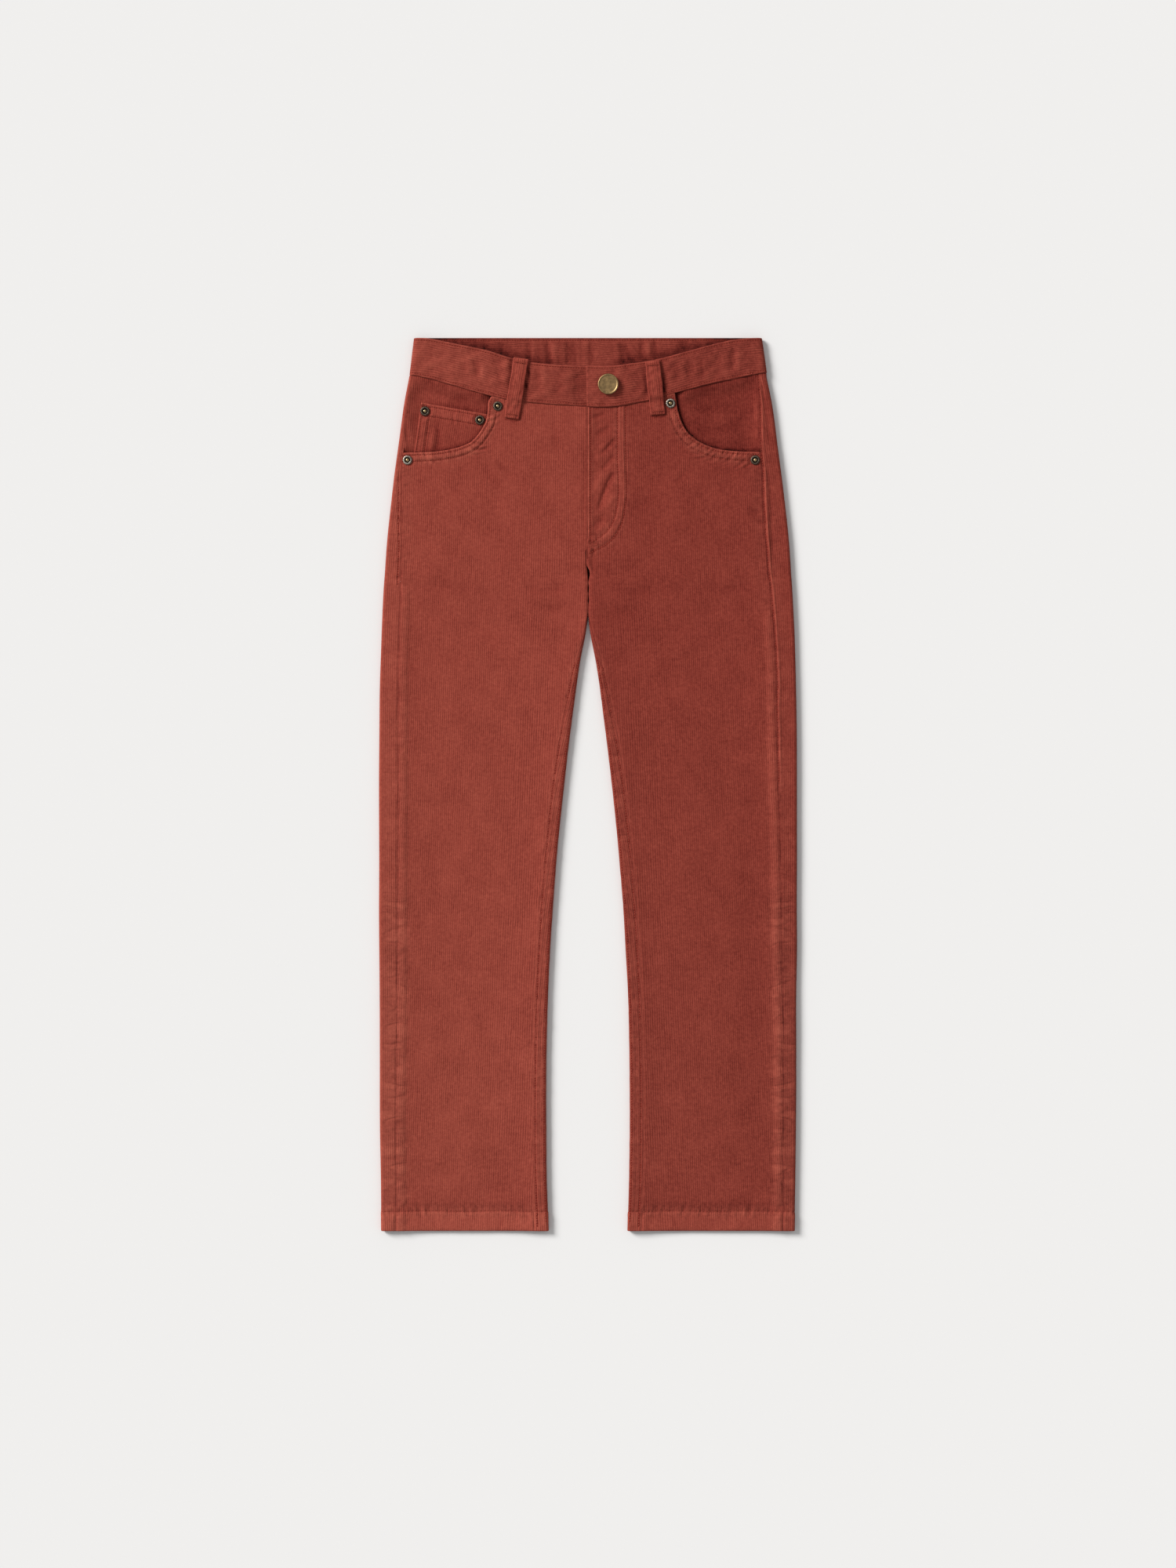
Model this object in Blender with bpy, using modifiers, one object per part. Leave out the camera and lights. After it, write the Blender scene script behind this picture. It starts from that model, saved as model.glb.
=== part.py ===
# A child's five-pocket corduroy trousers, laid flat on their back with the front up.
# Metres, +Z up. The cloth lies on z = 0, +Y points to the waist and +X to the wearer's left.
# "Out" is a distance from the centre line towards a side, "down" one from the waist's top edge.
import math
from collections import namedtuple

import bpy
from mathutils import Vector

mm = 0.001

# Driving sizes
length = 752.4 * mm             # waist to hem
cloth = 1.0 * mm                # one layer of corduroy
seam_gap = 0.3 * mm             # between neighbouring pieces
leg_height = 5.0 * mm           # the lying panels, at the side folds
leg_sag = 1.7 * mm              # how far a front sinks between its folds
fold_steps = 6                  # facets round a half-turn fold

band_cloth = 2.0 * mm           # doubled waistband
band_height = 6.0 * mm          # the lying waistband, at the side folds
band_top_out = 146.7 * mm       # half width at the waist's top edge
band_overlap_top = 6.6 * mm     # upper face where the band's ends overlap
hip_step = 0.6 * mm             # how far a back's side fold stands out past the band's

facing_top = 2.35 * mm          # upper face of a pocket facing
facing_in = 66 * mm             # its hidden inner edge
facing_down = 107 * mm          # its hidden lower edge
facing_ramp = 14 * mm           # the strip that climbs to the side seam
facing_gap = 0.6 * mm           # between that strip and the seam
fly_underlap = 9 * mm           # the right front's edge under the left front
fly_end_down = 171 * mm         # where that underlap starts to draw back
fly_level_down = 187 * mm       # where the right front is level with the left again

loop_width = 12.6 * mm
loop_cloth = 1.4 * mm
rivet_diameter = 8.6 * mm
button_diameter = 17.5 * mm

waist_y = length / 2
side_sign = {"right": -1, "left": 1}
fold_radius = leg_height / 2
band_radius = band_height / 2

# Legs, one row for each level. wrap is how far a back turns up round the inner fold:
# 0 at the seat seam, 0.5 upright, 1 right over. Insets are from the fold to the seam, on top.
Level = namedtuple("Level", "down outer gap side_right side_left inseam wrap")
levels = [
    Level(59.1, 155.8, 0.2, 2.9, 11.2, 0.2, 0),
    Level(74.3, 157.7, 0.2, 3.0, 13.2, 0.2, 0),
    Level(90.8, 159.9, 0.2, 5.0, 14.9, 0.2, 0),
    Level(111.9, 162.8, 0.2, 5.8, 16.1, 0.2, 0),
    Level(140.3, 166.2, 0.2, 9.0, 18.6, 0.2, 0),
    Level(170.6, 169.4, 0.2, 12.2, 20.0, 0.2, 0),
    Level(178.0, 170.0, 0.2, 12.7, 20.0, 0.2, 0),
    Level(187.0, 170.6, 0.2, 13.3, 19.9, 0.2, 0),
    Level(193.0, 170.9, 0.2, 13.5, 19.8, 1.2, 0.5),
    Level(200.0, 171.4, 0.2, 13.7, 19.4, 2.6, 0.8),
    Level(208.0, 172.0, 0.2, 14.0, 18.9, 3.0, 1),
    Level(243.9, 173.9, 1.3, 14.7, 17.6, 3.6, 1),
    Level(276.2, 175.1, 6.9, 15.2, 16.8, 5.5, 1),
    Level(323.1, 175.9, 13.5, 15.6, 17.0, 9.5, 1),
    Level(375.9, 176.2, 19.8, 15.8, 16.2, 11.3, 1),
    Level(441.9, 176.2, 26.4, 15.5, 14.3, 11.6, 1),
    Level(512.5, 176.1, 31.5, 15.0, 13.2, 11.6, 1),
    Level(573.9, 175.6, 34.1, 14.2, 11.2, 11.6, 1),
    Level(639.9, 175.6, 35.0, 13.5, 11.0, 11.6, 1),
    Level(705.9, 174.9, 34.5, 12.8, 10.6, 11.9, 1),
    Level(752.4, 174.2, 33.0, 12.3, 9.9, 12.0, 1),
]
levels = [Level(*(value * mm for value in level[:6]), level.wrap) for level in levels]
first_full_level = 3            # the first level below the pocket scoops

# Front waistband, one row for each section from the fly to the side fold: where its top edge
# and its lower edge lie, and how high its upper face is.
Section = namedtuple("Section", "top_out top_down low_out low_down height")
band_sections = {
    "right": [
        Section(-24.0, 23.9, -24.0, 57.0, 4.3),
        Section(-3.5, 23.8, -3.5, 57.8, 4.3),
        Section(3.5, 23.8, 3.5, 58.2, 4.35),
        Section(16.5, 23.4, 14.5, 57.4, 5.8),
        Section(35.0, 22.2, 29.0, 56.4, 6.0),
        Section(50.2, 20.5, 48.2, 54.8, 6.0),
        Section(64.7, 17.2, 68.6, 52.1, 6.0),
        Section(85.8, 10.6, 89.8, 47.2, 6.0),
        Section(106.3, 6.3, 105.6, 42.7, 6.0),
        Section(121.4, 3.2, 122.1, 37.9, 6.0),
        Section(136.0, 0.5, 137.0, 33.9, 6.0),
    ],
    "left": [
        Section(-1.5, 23.8, -1.0, 58.4, 6.6),
        Section(13.2, 24.0, 13.2, 58.6, 6.6),
        Section(23.1, 23.7, 30.0, 57.3, 6.6),
        Section(31.0, 22.5, 42.2, 54.8, 6.4),
        Section(48.2, 20.1, 52.1, 52.9, 6.1),
        Section(60.7, 17.7, 66.7, 48.5, 6.0),
        Section(79.2, 12.8, 85.1, 43.8, 6.0),
        Section(97.0, 7.9, 103.0, 39.1, 6.0),
        Section(115.5, 3.3, 121.4, 35.3, 6.0),
        Section(134.0, 0.6, 137.0, 31.9, 6.0),
    ],
}
band_sections = {
    side: [Section(*(value * mm for value in section)) for section in sections]
    for side, sections in band_sections.items()
}
band_low_out = {"right": 150.5 * mm, "left": 150.9 * mm}        # half width at the lower edge
band_low_down = {"right": 31.9 * mm, "left": 29.9 * mm}         # lower edge at the side fold
band_back_down = 33.0 * mm                                      # lower edge at the centre back

# Pocket scoops, one row for each point from the waistband to the side seam.
Edge = namedtuple("Edge", "out down")
scoops = {
    "right": [
        Edge(83.9, 53.8), Edge(84.5, 61.7), Edge(85.6, 69.0), Edge(91.1, 79.5), Edge(97.0, 86.7),
        Edge(107.6, 91.9), Edge(119.5, 94.7), Edge(131.3, 96.2), Edge(143.5, 96.6),
    ],
    "left": [
        Edge(74.6, 55.1), Edge(75.6, 60.5), Edge(77.7, 67.7), Edge(81.2, 75.6), Edge(86.4, 82.5),
        Edge(97.0, 89.4), Edge(107.6, 93.3), Edge(121.4, 95.4), Edge(133.3, 96.1),
    ],
}
scoops = {side: [Edge(p.out * mm, p.down * mm) for p in edge] for side, edge in scoops.items()}
scoop_start_out = {"right": 81.4 * mm, "left": 73.4 * mm}       # where a scoop leaves the band
scoop_end_down = {"right": 97.0 * mm, "left": 96.4 * mm}        # where it meets the side seam

# Coin pocket on the right facing
coin_hem_inner = Edge(78.0 * mm, 65.6 * mm)
coin_hem_outer = Edge(140.6 * mm, 54.5 * mm)
coin_low_outer = Edge(146.5 * mm, 96.0 * mm)
coin_low_down = 103 * mm

# Front belt loops: where each one's middle starts and ends
Loop = namedtuple("Loop", "top_out top_down low_out low_down")
belt_loops = {
    "right": Loop(56.3 * mm, 17.6 * mm, 64.2 * mm, 68.3 * mm),
    "left": Loop(54.2 * mm, 20.0 * mm, 58.8 * mm, 65.2 * mm),
}
# How far along a loop, and how high it stands off the cloth there
loop_arch = [(0.0, 0.3), (0.10, 0.3), (0.30, 1.5), (0.50, 2.0), (0.68, 1.6), (0.86, 0.4), (1.0, 0.3)]

# Rivets: name, side, out, down, and what each one is set in
Rivet = namedtuple("Rivet", "name side out down carrier")
rivets = [
    Rivet("rivet_right_waist", "right", 75.9 * mm, 57.8 * mm, "front"),
    Rivet("rivet_right_side", "right", 152.0 * mm, 103.2 * mm, "front"),
    Rivet("rivet_left_waist", "left", 69.5 * mm, 55.4 * mm, "front"),
    Rivet("rivet_left_side", "left", 140.8 * mm, 103.2 * mm, "front"),
    Rivet("rivet_coin_outer", "right", 137.3 * mm, 61.9 * mm, "coin"),
    Rivet("rivet_coin_inner", "right", 91.1 * mm, 69.4 * mm, "coin"),
]
button_out = 17.0 * mm
button_down = 39.6 * mm


def ease(value):
    value = min(1.0, max(0.0, value))
    return value * value * (3 - 2 * value)


def mix(start, end, share):
    return start + (end - start) * share


def read(rows, key, down):
    """The value of one column at a distance down, in straight lines between the rows."""
    if down <= rows[0].down:
        return getattr(rows[0], key)
    for above, below in zip(rows, rows[1:]):
        if down <= below.down:
            share = (down - above.down) / (below.down - above.down)
            return mix(getattr(above, key), getattr(below, key), share)
    return getattr(rows[-1], key)


def band_edge(side, out, edge):
    """How far down the front band's "top" or "low" edge is at a distance out."""
    sections = band_sections[side]
    outs = [getattr(s, edge + "_out") for s in sections]
    downs = [getattr(s, edge + "_down") for s in sections]
    outs.append(band_top_out if edge == "top" else band_low_out[side])
    downs.append(0.3 * mm if edge == "top" else band_low_down[side])
    for index in range(len(outs) - 1):
        if out <= outs[index + 1]:
            share = (out - outs[index]) / (outs[index + 1] - outs[index])
            return mix(downs[index], downs[index + 1], max(0.0, share))
    return downs[-1]


def band_face(side, out):
    """The height of the front band's upper face at a distance out."""
    sections = band_sections[side]
    for a, b in zip(sections, sections[1:]):
        if out <= b.top_out:
            return mix(a.height, b.height, max(0.0, (out - a.top_out) / (b.top_out - a.top_out)))
    return sections[-1].height


def point(side, out, down, height):
    return Vector((side_sign[side] * out, waist_y - down, height))


def make_material(name, colour, roughness, metallic):
    material = bpy.data.materials.new(name)
    material.use_nodes = True
    shader = material.node_tree.nodes["Principled BSDF"]
    shader.inputs["Base Color"].default_value = (*colour, 1)
    shader.inputs["Roughness"].default_value = roughness
    shader.inputs["Metallic"].default_value = metallic
    return material


def add_object(name, mesh, material):
    made = bpy.data.objects.new(name, mesh)
    mesh.materials.append(material)
    trousers.objects.link(made)
    return made


def cloth_from_rows(name, rows, thickness, material, turned):
    """A wall of cloth: rows of points are its outer skin, and Solidify gives it its thickness."""
    width = len(rows[0])
    faces = []
    for row in range(len(rows) - 1):
        for column in range(width - 1):
            a = row * width + column
            face = (a, a + 1, a + width + 1, a + width)
            faces.append(face[::-1] if turned else face)
    mesh = bpy.data.meshes.new(name)
    mesh.from_pydata([p for row in rows for p in row], [], faces)
    mesh.shade_smooth()
    mesh.set_sharp_from_angle(angle=math.radians(40))
    made = add_object(name, mesh, material)
    wall = made.modifiers.new("Wall", "SOLIDIFY")
    wall.thickness = thickness
    wall.offset = -1
    return made


def turned_piece(name, profile, steps, place, material):
    """A round metal piece: its profile, top to bottom, is turned about the upright axis."""
    mesh = bpy.data.meshes.new(name)
    points = [(out, 0, height) for out, height in profile]
    mesh.from_pydata(points, [(i, i + 1) for i in range(len(points) - 1)], [])
    made = add_object(name, mesh, material)
    made.location = place
    turn = made.modifiers.new("Turn", "SCREW")
    turn.steps = steps
    turn.render_steps = steps
    turn.use_merge_vertices = True
    turn.merge_threshold = 0.00001
    turn.use_smooth_shade = True
    return made


def fold_points(middle_out, towards, turn, radius):
    """Points round a fold, from its end down to the floor. turn is 1 for a half turn."""
    points = []
    for step in range(fold_steps + 1):
        angle = math.pi * turn * (1 - step / fold_steps)
        points.append((middle_out + towards * radius * math.sin(angle),
                       radius - radius * math.cos(angle)))
    return points


def back_path(level, inset):
    """A back's outer skin at one level, from its inner seam to its side seam."""
    inner_middle = level.gap + fold_radius
    outer_middle = level.outer - fold_radius
    if level.wrap == 0:
        tip = 0.3 * mm
        flat = fold_radius - tip
        path = [(level.gap, 0)]
        path += [(level.gap + tip + flat * k / fold_steps, 0) for k in range(fold_steps + 1)]
    else:
        path = fold_points(inner_middle, -1, level.wrap, fold_radius)
        end_out, end_height = path[0]
        if level.wrap < 1:
            angle = math.pi * level.wrap
            end = (end_out - 0.3 * mm * math.cos(angle), end_height + 0.3 * mm * math.sin(angle))
        else:
            end = (level.gap + level.inseam, end_height)
        path.insert(0, end)
    floor_span = outer_middle - inner_middle
    path += [(inner_middle + floor_span * share, 0) for share in (0.25, 0.5, 0.75)]
    path += fold_points(outer_middle, 1, 1, fold_radius)[::-1]
    path.append((level.outer - inset, leg_height))
    return path


def make_back(side):
    """Leg and seat in one piece, round the side fold and the inner fold onto the top."""
    key = "side_" + side
    rows = []
    top_row = []
    first = levels[0]
    top_outer = band_low_out[side] + hip_step
    top_level = first._replace(outer=top_outer)
    top_path = back_path(top_level, getattr(first, key))
    fold_start = len(top_path) - fold_steps - 2
    for index, (out, height) in enumerate(top_path):
        back_down = mix(band_back_down, band_low_down[side], ease(out / top_outer))
        front_down = band_edge(side, out, "low")
        share = max(0.0, (index - fold_start) / fold_steps)
        top_row.append(point(side, out, mix(back_down, front_down, min(1.0, share)) + seam_gap, height))
    rows.append(top_row)
    for level in levels:
        path = back_path(level, getattr(level, key))
        rows.append([point(side, out, level.down, height) for out, height in path])
    return cloth_from_rows("back_" + side, rows, cloth, corduroy("back_" + side), side == "right")


def front_height(out, down, inner, outer):
    """The height of a front's upper face: level at its seams, sunk a little between them."""
    across = (out - inner) / (outer - inner)
    dip = 1 - (2 * across - 1) ** 4
    return leg_height - leg_sag * dip * ease((down - 180 * mm) / (70 * mm))


def front_edges(side, level):
    """A front's inner and outer edge at one level."""
    outer = level.outer - getattr(level, "side_" + side) - seam_gap
    if level.wrap:
        return level.gap + level.inseam + seam_gap, outer
    return (-0.3 * mm if side == "left" else 0.6 * mm), outer


def fly_points(side, inner, down):
    """The columns next to the centre line: out and how far each one drops under the left front."""
    plain = (0, 2 * mm, 5 * mm)
    if side == "left":
        return [(inner + offset, 0) for offset in plain]
    lap = 1 - ease((down - fly_end_down) / (7 * mm))
    sunk = ease((fly_level_down - down) / (9 * mm))
    under = (-fly_underlap - inner, -1.6 * mm, 3.4 * mm)
    drops = (1.35 * mm, 1.35 * mm, 0.8 * mm)
    return [(inner + mix(offset, low, lap), drop * sunk)
            for offset, low, drop in zip(plain, under, drops)]


def make_front(side):
    """Leg and rise in one piece, its upper outer corner cut away by the pocket scoop."""
    scoop = scoops[side]
    start = 8 * mm
    stop = scoop_start_out[side]
    middle_outs = [s.low_out for s in band_sections[side] if start + 3 * mm < s.low_out < stop - 3 * mm]
    waist_outs = [start, *middle_outs, stop]
    columns = len(waist_outs) + len(scoop) + 1
    first = levels[first_full_level]
    inner, outer = front_edges(side, first)
    base_outs = [mix(start, outer, k / (columns - 1)) for k in range(columns)]

    top = [(out, band_edge(side, out, "low") + seam_gap) for out in waist_outs]
    top += [(edge.out, edge.down) for edge in scoop]
    end_down = scoop_end_down[side]
    end_out = read(levels, "outer", end_down) - read(levels, "side_" + side, end_down) - seam_gap
    top.append((end_out, end_down))

    rows = []
    trunk_steps = 4
    for step in range(trunk_steps):
        share = step / trunk_steps
        down = mix(band_edge(side, 0, "low") + seam_gap, first.down, share)
        row = [point(side, out, down, leg_height - drop)
               for out, drop in fly_points(side, inner, down)]
        for (top_out, top_down), out in zip(top, base_outs):
            row.append(point(side, mix(top_out, out, share), mix(top_down, first.down, share), leg_height))
        rows.append(row)
    for level in levels[first_full_level:]:
        inner, outer = front_edges(side, level)
        row = [point(side, out, level.down, leg_height - drop)
               for out, drop in fly_points(side, inner, level.down)]
        for k in range(columns):
            out = mix(inner + start, outer, k / (columns - 1))
            height = front_height(out, level.down, inner, outer)
            row.append(point(side, out, level.down, height))
        rows.append(row)
    return cloth_from_rows("front_" + side, rows, cloth, corduroy("front_" + side), side == "left")


def facing_height(side, out, down):
    """A facing's upper face: low under the front, and up to the back's strip at the side seam."""
    seam = read(levels, "outer", down) - read(levels, "side_" + side, down)
    near_seam = max(0.0, 1 - (seam - out) / facing_ramp) ** 2
    return facing_top + (leg_height - facing_top) * near_seam * ease((92 * mm - down) / (14 * mm))


def make_facing(side):
    """The cloth behind a pocket scoop. Its inner and lower edges run on under the front."""
    downs = [0.0, 0.2, 0.4, 0.58, 0.7, 0.8, 0.88, 1.0]
    columns = [0.0, 0.45, 0.75, 0.84, 0.9, 0.95, 1.0]
    rows = []
    for share in downs:
        row = []
        for across in columns:
            guess = mix(facing_in, 148 * mm, across)
            start = band_edge(side, guess, "low") + seam_gap
            down = mix(start, facing_down, share)
            seam = read(levels, "outer", down) - read(levels, "side_" + side, down)
            if down < levels[0].down:
                top_seam = band_low_out[side] + hip_step - getattr(levels[0], "side_" + side)
                reach = (levels[0].down - down) / (levels[0].down - band_low_down[side])
                seam = mix(seam, top_seam, reach)
            out = mix(facing_in, seam - facing_gap, across)
            row.append(point(side, out, down, facing_height(side, out, down)))
        rows.append(row)
    name = "pocket_facing_" + side
    return cloth_from_rows(name, rows, cloth, corduroy(name), side == "left")


def coin_face(out, down):
    return facing_height("right", out, down) + seam_gap + cloth


def make_coin_pocket():
    """A patch made from the facing's own points, moved out by one layer."""
    rows = []
    for share in (0.0, 0.3, 0.55, 0.75, 0.9, 1.0):
        row = []
        for across in (0.0, 0.25, 0.5, 0.7, 0.85, 1.0):
            hem_out = mix(coin_hem_inner.out, coin_hem_outer.out, across)
            hem_down = mix(coin_hem_inner.down, coin_hem_outer.down, across)
            low_out = mix(coin_hem_inner.out, coin_low_outer.out, across)
            out = mix(hem_out, low_out, share)
            down = mix(hem_down, coin_low_down, share)
            row.append(point("right", out, down, coin_face(out, down)))
        rows.append(row)
    return cloth_from_rows("coin_pocket", rows, cloth, corduroy("coin_pocket"), False)


def band_fold(side):
    """The band's two edges round a side fold, from the top down to the floor."""
    stations = []
    for step in range(fold_steps + 1):
        angle = math.pi * (1 - step / fold_steps)
        reach = band_radius * math.sin(angle)
        height = band_radius - band_radius * math.cos(angle)
        top = point(side, band_top_out - band_radius + reach, 0.3 * mm * (1 - step / fold_steps), height)
        low = point(side, band_low_out[side] - band_radius + reach, band_low_down[side], height)
        stations.append((top, low))
    return stations


def make_waistband():
    """One strip, from its left end on top, round the back, to its right end underneath."""
    front = {
        side: [(point(side, s.top_out, s.top_down, s.height), point(side, s.low_out, s.low_down, s.height))
               for s in band_sections[side]]
        for side in side_sign
    }
    across_back = []
    for step in range(1, 8):
        share = step / 8
        top_x = mix(band_top_out - band_radius, -(band_top_out - band_radius), share)
        low_x = mix(band_low_out["left"] - band_radius, -(band_low_out["right"] - band_radius), share)
        side_down = mix(band_low_down["left"], band_low_down["right"], share)
        low_down = mix(side_down, band_back_down, ease(1 - abs(2 * share - 1)))
        across_back.append((point("left", top_x, 0, 0), point("left", low_x, low_down, 0)))
    stations = front["left"] + band_fold("left") + across_back
    stations += band_fold("right")[::-1] + front["right"][::-1]
    rows = [[top for top, low in stations], [low for top, low in stations]]
    return cloth_from_rows("waistband", rows, band_cloth, corduroy("waistband"), True)


def carrier_face(side, out, down):
    """The upper face that a belt loop passes over: the band, then the front below it."""
    past = (down - band_edge(side, out, "low")) / (3 * mm)
    return mix(band_face(side, out), leg_height, ease(past + 0.5))


def make_belt_loop(side):
    loop = belt_loops[side]
    along = Vector((loop.low_out - loop.top_out, loop.low_down - loop.top_down)).normalized()
    rows = []
    for share, lift in loop_arch:
        out = mix(loop.top_out, loop.low_out, share)
        down = mix(loop.top_down, loop.low_down, share)
        height = carrier_face(side, out, down) + lift * mm + loop_cloth
        edge_x = along.y * loop_width / 2
        edge_down = -along.x * loop_width / 2
        rows.append([point(side, out + k * edge_x, down + k * edge_down, height) for k in (-1, 0, 1)])
    name = "belt_loop_" + side
    return cloth_from_rows(name, rows, loop_cloth, corduroy(name), side == "left")


def make_button():
    """A tack button: a slightly dished face in a raised rim, on a short collar."""
    rim = button_diameter / 2
    profile = [
        (0, 2.5 * mm), (rim * 0.45, 2.55 * mm), (rim * 0.78, 2.75 * mm), (rim * 0.88, 3.05 * mm),
        (rim * 0.95, 2.95 * mm), (rim, 2.4 * mm), (rim * 0.97, 1.5 * mm), (rim * 0.85, 0.9 * mm),
        (rim * 0.55, 0.7 * mm), (rim * 0.5, 0), (0, 0),
    ]
    place = point("left", button_out, button_down, band_overlap_top + seam_gap)
    return turned_piece("button", profile, 28, place, metal("button"))


def make_rivet(rivet):
    """A ring with a sunk well and a small domed post in its middle."""
    rim = rivet_diameter / 2
    profile = [
        (0, 1.1 * mm), (rim * 0.2, 1.0 * mm), (rim * 0.33, 0.7 * mm), (rim * 0.37, 0.4 * mm),
        (rim * 0.54, 0.4 * mm), (rim * 0.6, 0.85 * mm), (rim * 0.78, 0.95 * mm),
        (rim * 0.95, 0.6 * mm), (rim, 0), (0, 0),
    ]
    face = leg_height if rivet.carrier == "front" else coin_face(rivet.out, rivet.down)
    place = point(rivet.side, rivet.out, rivet.down, face + seam_gap)
    return turned_piece(rivet.name, profile, 16, place, metal(rivet.name))


def corduroy(name):
    return make_material(name + "_corduroy", (0.265, 0.050, 0.035), 0.9, 0.0)


def metal(name):
    return make_material(name + "_brass", (0.24, 0.18, 0.08), 0.35, 1.0)


for old in list(bpy.data.objects):
    bpy.data.objects.remove(old, do_unlink=True)
trousers = bpy.data.collections.new("corduroy_trousers")
bpy.context.scene.collection.children.link(trousers)

for side_name in side_sign:
    make_back(side_name)
    make_front(side_name)
    make_facing(side_name)
    make_belt_loop(side_name)
make_coin_pocket()
make_waistband()
make_button()
for each_rivet in rivets:
    make_rivet(each_rivet)
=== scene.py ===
import math
import bpy
import numpy as np
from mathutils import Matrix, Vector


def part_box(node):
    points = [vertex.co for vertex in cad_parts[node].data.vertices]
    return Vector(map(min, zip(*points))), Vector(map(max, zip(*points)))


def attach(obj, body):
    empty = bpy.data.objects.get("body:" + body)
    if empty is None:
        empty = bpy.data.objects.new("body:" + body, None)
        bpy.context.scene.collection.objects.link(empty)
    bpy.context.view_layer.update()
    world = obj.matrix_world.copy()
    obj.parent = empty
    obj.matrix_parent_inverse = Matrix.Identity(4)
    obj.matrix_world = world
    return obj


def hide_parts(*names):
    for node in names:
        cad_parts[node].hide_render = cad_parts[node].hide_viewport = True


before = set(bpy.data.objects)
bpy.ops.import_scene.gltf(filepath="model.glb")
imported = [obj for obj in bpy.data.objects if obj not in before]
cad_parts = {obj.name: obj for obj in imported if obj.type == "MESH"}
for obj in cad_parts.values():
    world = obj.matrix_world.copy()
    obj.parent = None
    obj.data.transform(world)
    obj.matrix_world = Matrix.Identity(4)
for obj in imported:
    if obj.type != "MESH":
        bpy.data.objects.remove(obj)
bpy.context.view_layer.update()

print("frame loaded:", len(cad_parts), "nodes")

# Sizes are in millimetres, and makeMesh turns them into metres. "Out" is a distance from the
# centre line towards a side, "down" one from the waist's top edge. Right and left are the wearer's.

waistY = 376.2          # the waist's top edge, from the frame's origin
sideSign = {"right": -1, "left": 1}
seamGap = 0.006
layer = 1.0             # one layer of cloth
legTop = 5.0            # top of the lying legs
foldRadius = legTop / 2
quarterFold = foldRadius * math.pi / 2

# The wales: a narrow groove and a rounded top
corduroy = {
    "pitch": 1.75,
    "bandPitch": 1.86,
    "depth": 0.20,
    "columns": (0.0, 0.3, 0.7),             # where a wale gets its mesh columns
    "heights": (0.0, 1.0, 1.0),
}


def ease(value):
    value = np.clip(value, 0, 1)
    return value * value * (3 - 2 * value)


def mix(start, end, share):
    return start + (end - start) * share


def smoothCurve(xs, ys):
    # a soft line through the given values, flat past its ends
    xs, ys = np.array(xs, float), np.array(ys, float)
    slopes = np.gradient(ys, xs)

    def read(x):
        x = np.clip(x, xs[0], xs[-1])
        i = np.clip(np.searchsorted(xs, x) - 1, 0, len(xs) - 2)
        span = xs[i + 1] - xs[i]
        t = (x - xs[i]) / span
        bend = (t - 1) ** 2 * t * span * slopes[i] + (t - 1) * t * t * span * slopes[i + 1]
        return mix(ys[i], ys[i + 1], t * t * (3 - 2 * t)) + bend

    return read


def wayAlong(points):
    # how far along a line each of its points lies
    return np.concatenate([[0], np.cumsum(np.linalg.norm(np.diff(points, axis=0), axis=1))])


def smoothPath(points, step=3.0):
    # evenly spaced points on a soft line through the given ones
    points = np.array(points, float)
    chord = wayAlong(points)
    fine = np.linspace(0, chord[-1], int(chord[-1] / 0.5) + 3)
    line = np.stack([smoothCurve(chord, column)(fine) for column in points.T], axis=1)
    run = wayAlong(line)
    stops = np.linspace(0, run[-1], max(2, int(round(run[-1] / step)) + 1))
    return np.stack([np.interp(stops, run, column) for column in line.T], axis=1)


def sidePath(path, distance):
    # a path beside another; a plus distance lies to the inside of a pocket scoop's cloth
    along = np.gradient(path, axis=0)
    along /= np.linalg.norm(along, axis=1)[:, None]
    return path + distance * np.stack([-along[:, 1], along[:, 0]], axis=1)


def nearPath(x, y, path, reach):
    # distance to a path, how far along it that is, and on which side
    distance = np.full(x.shape, 1e3)
    run = np.zeros(x.shape)
    side = np.ones(x.shape)
    low, high = path.min(axis=0) - reach, path.max(axis=0) + reach
    inside = (x > low[0]) & (x < high[0]) & (y > low[1]) & (y < high[1])
    px, py = x[inside], y[inside]
    best = np.full(px.shape, 1e3)
    bestRun = np.zeros(px.shape)
    bestSide = np.ones(px.shape)
    start = 0.0
    for a, b in zip(path, path[1:]):
        stepX, stepY = b - a
        size = math.hypot(stepX, stepY)
        t = np.clip(((px - a[0]) * stepX + (py - a[1]) * stepY) / size ** 2, 0, 1)
        gapX, gapY = px - a[0] - t * stepX, py - a[1] - t * stepY
        gap = np.hypot(gapX, gapY)
        closer = gap < best
        best[closer] = gap[closer]
        bestRun[closer] = (start + t * size)[closer]
        bestSide[closer] = np.sign(stepX * gapY - stepY * gapX)[closer]
        start += size
    distance[inside] = best
    run[inside] = bestRun
    side[inside] = bestSide
    return distance, run, side, start


def wave(run, spacing, seed):
    # an uneven ripple between about -1 and 1
    a, b, c, d = np.random.RandomState(seed).uniform(0, 2 * math.pi, 4)
    turn = 2 * math.pi * run / spacing
    ripple = np.sin(turn + a) + 0.6 * np.sin(turn / 1.63 + b) + 0.4 * np.sin(turn * 1.41 + c)
    return ripple / 1.6 * (0.65 + 0.35 * np.sin(turn / 5.3 + d))


def billow(x, y, size, seed):
    # a soft uneven swell between about -1 and 1
    draw = np.random.RandomState(seed)
    total = np.zeros(np.shape(x))
    for _ in range(6):
        angle, phase = draw.uniform(0, 2 * math.pi, 2)
        length = size * draw.uniform(0.7, 1.6)
        total = total + np.sin(2 * math.pi * (x * math.cos(angle) + y * math.sin(angle)) / length + phase)
    return total / 3.2


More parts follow.
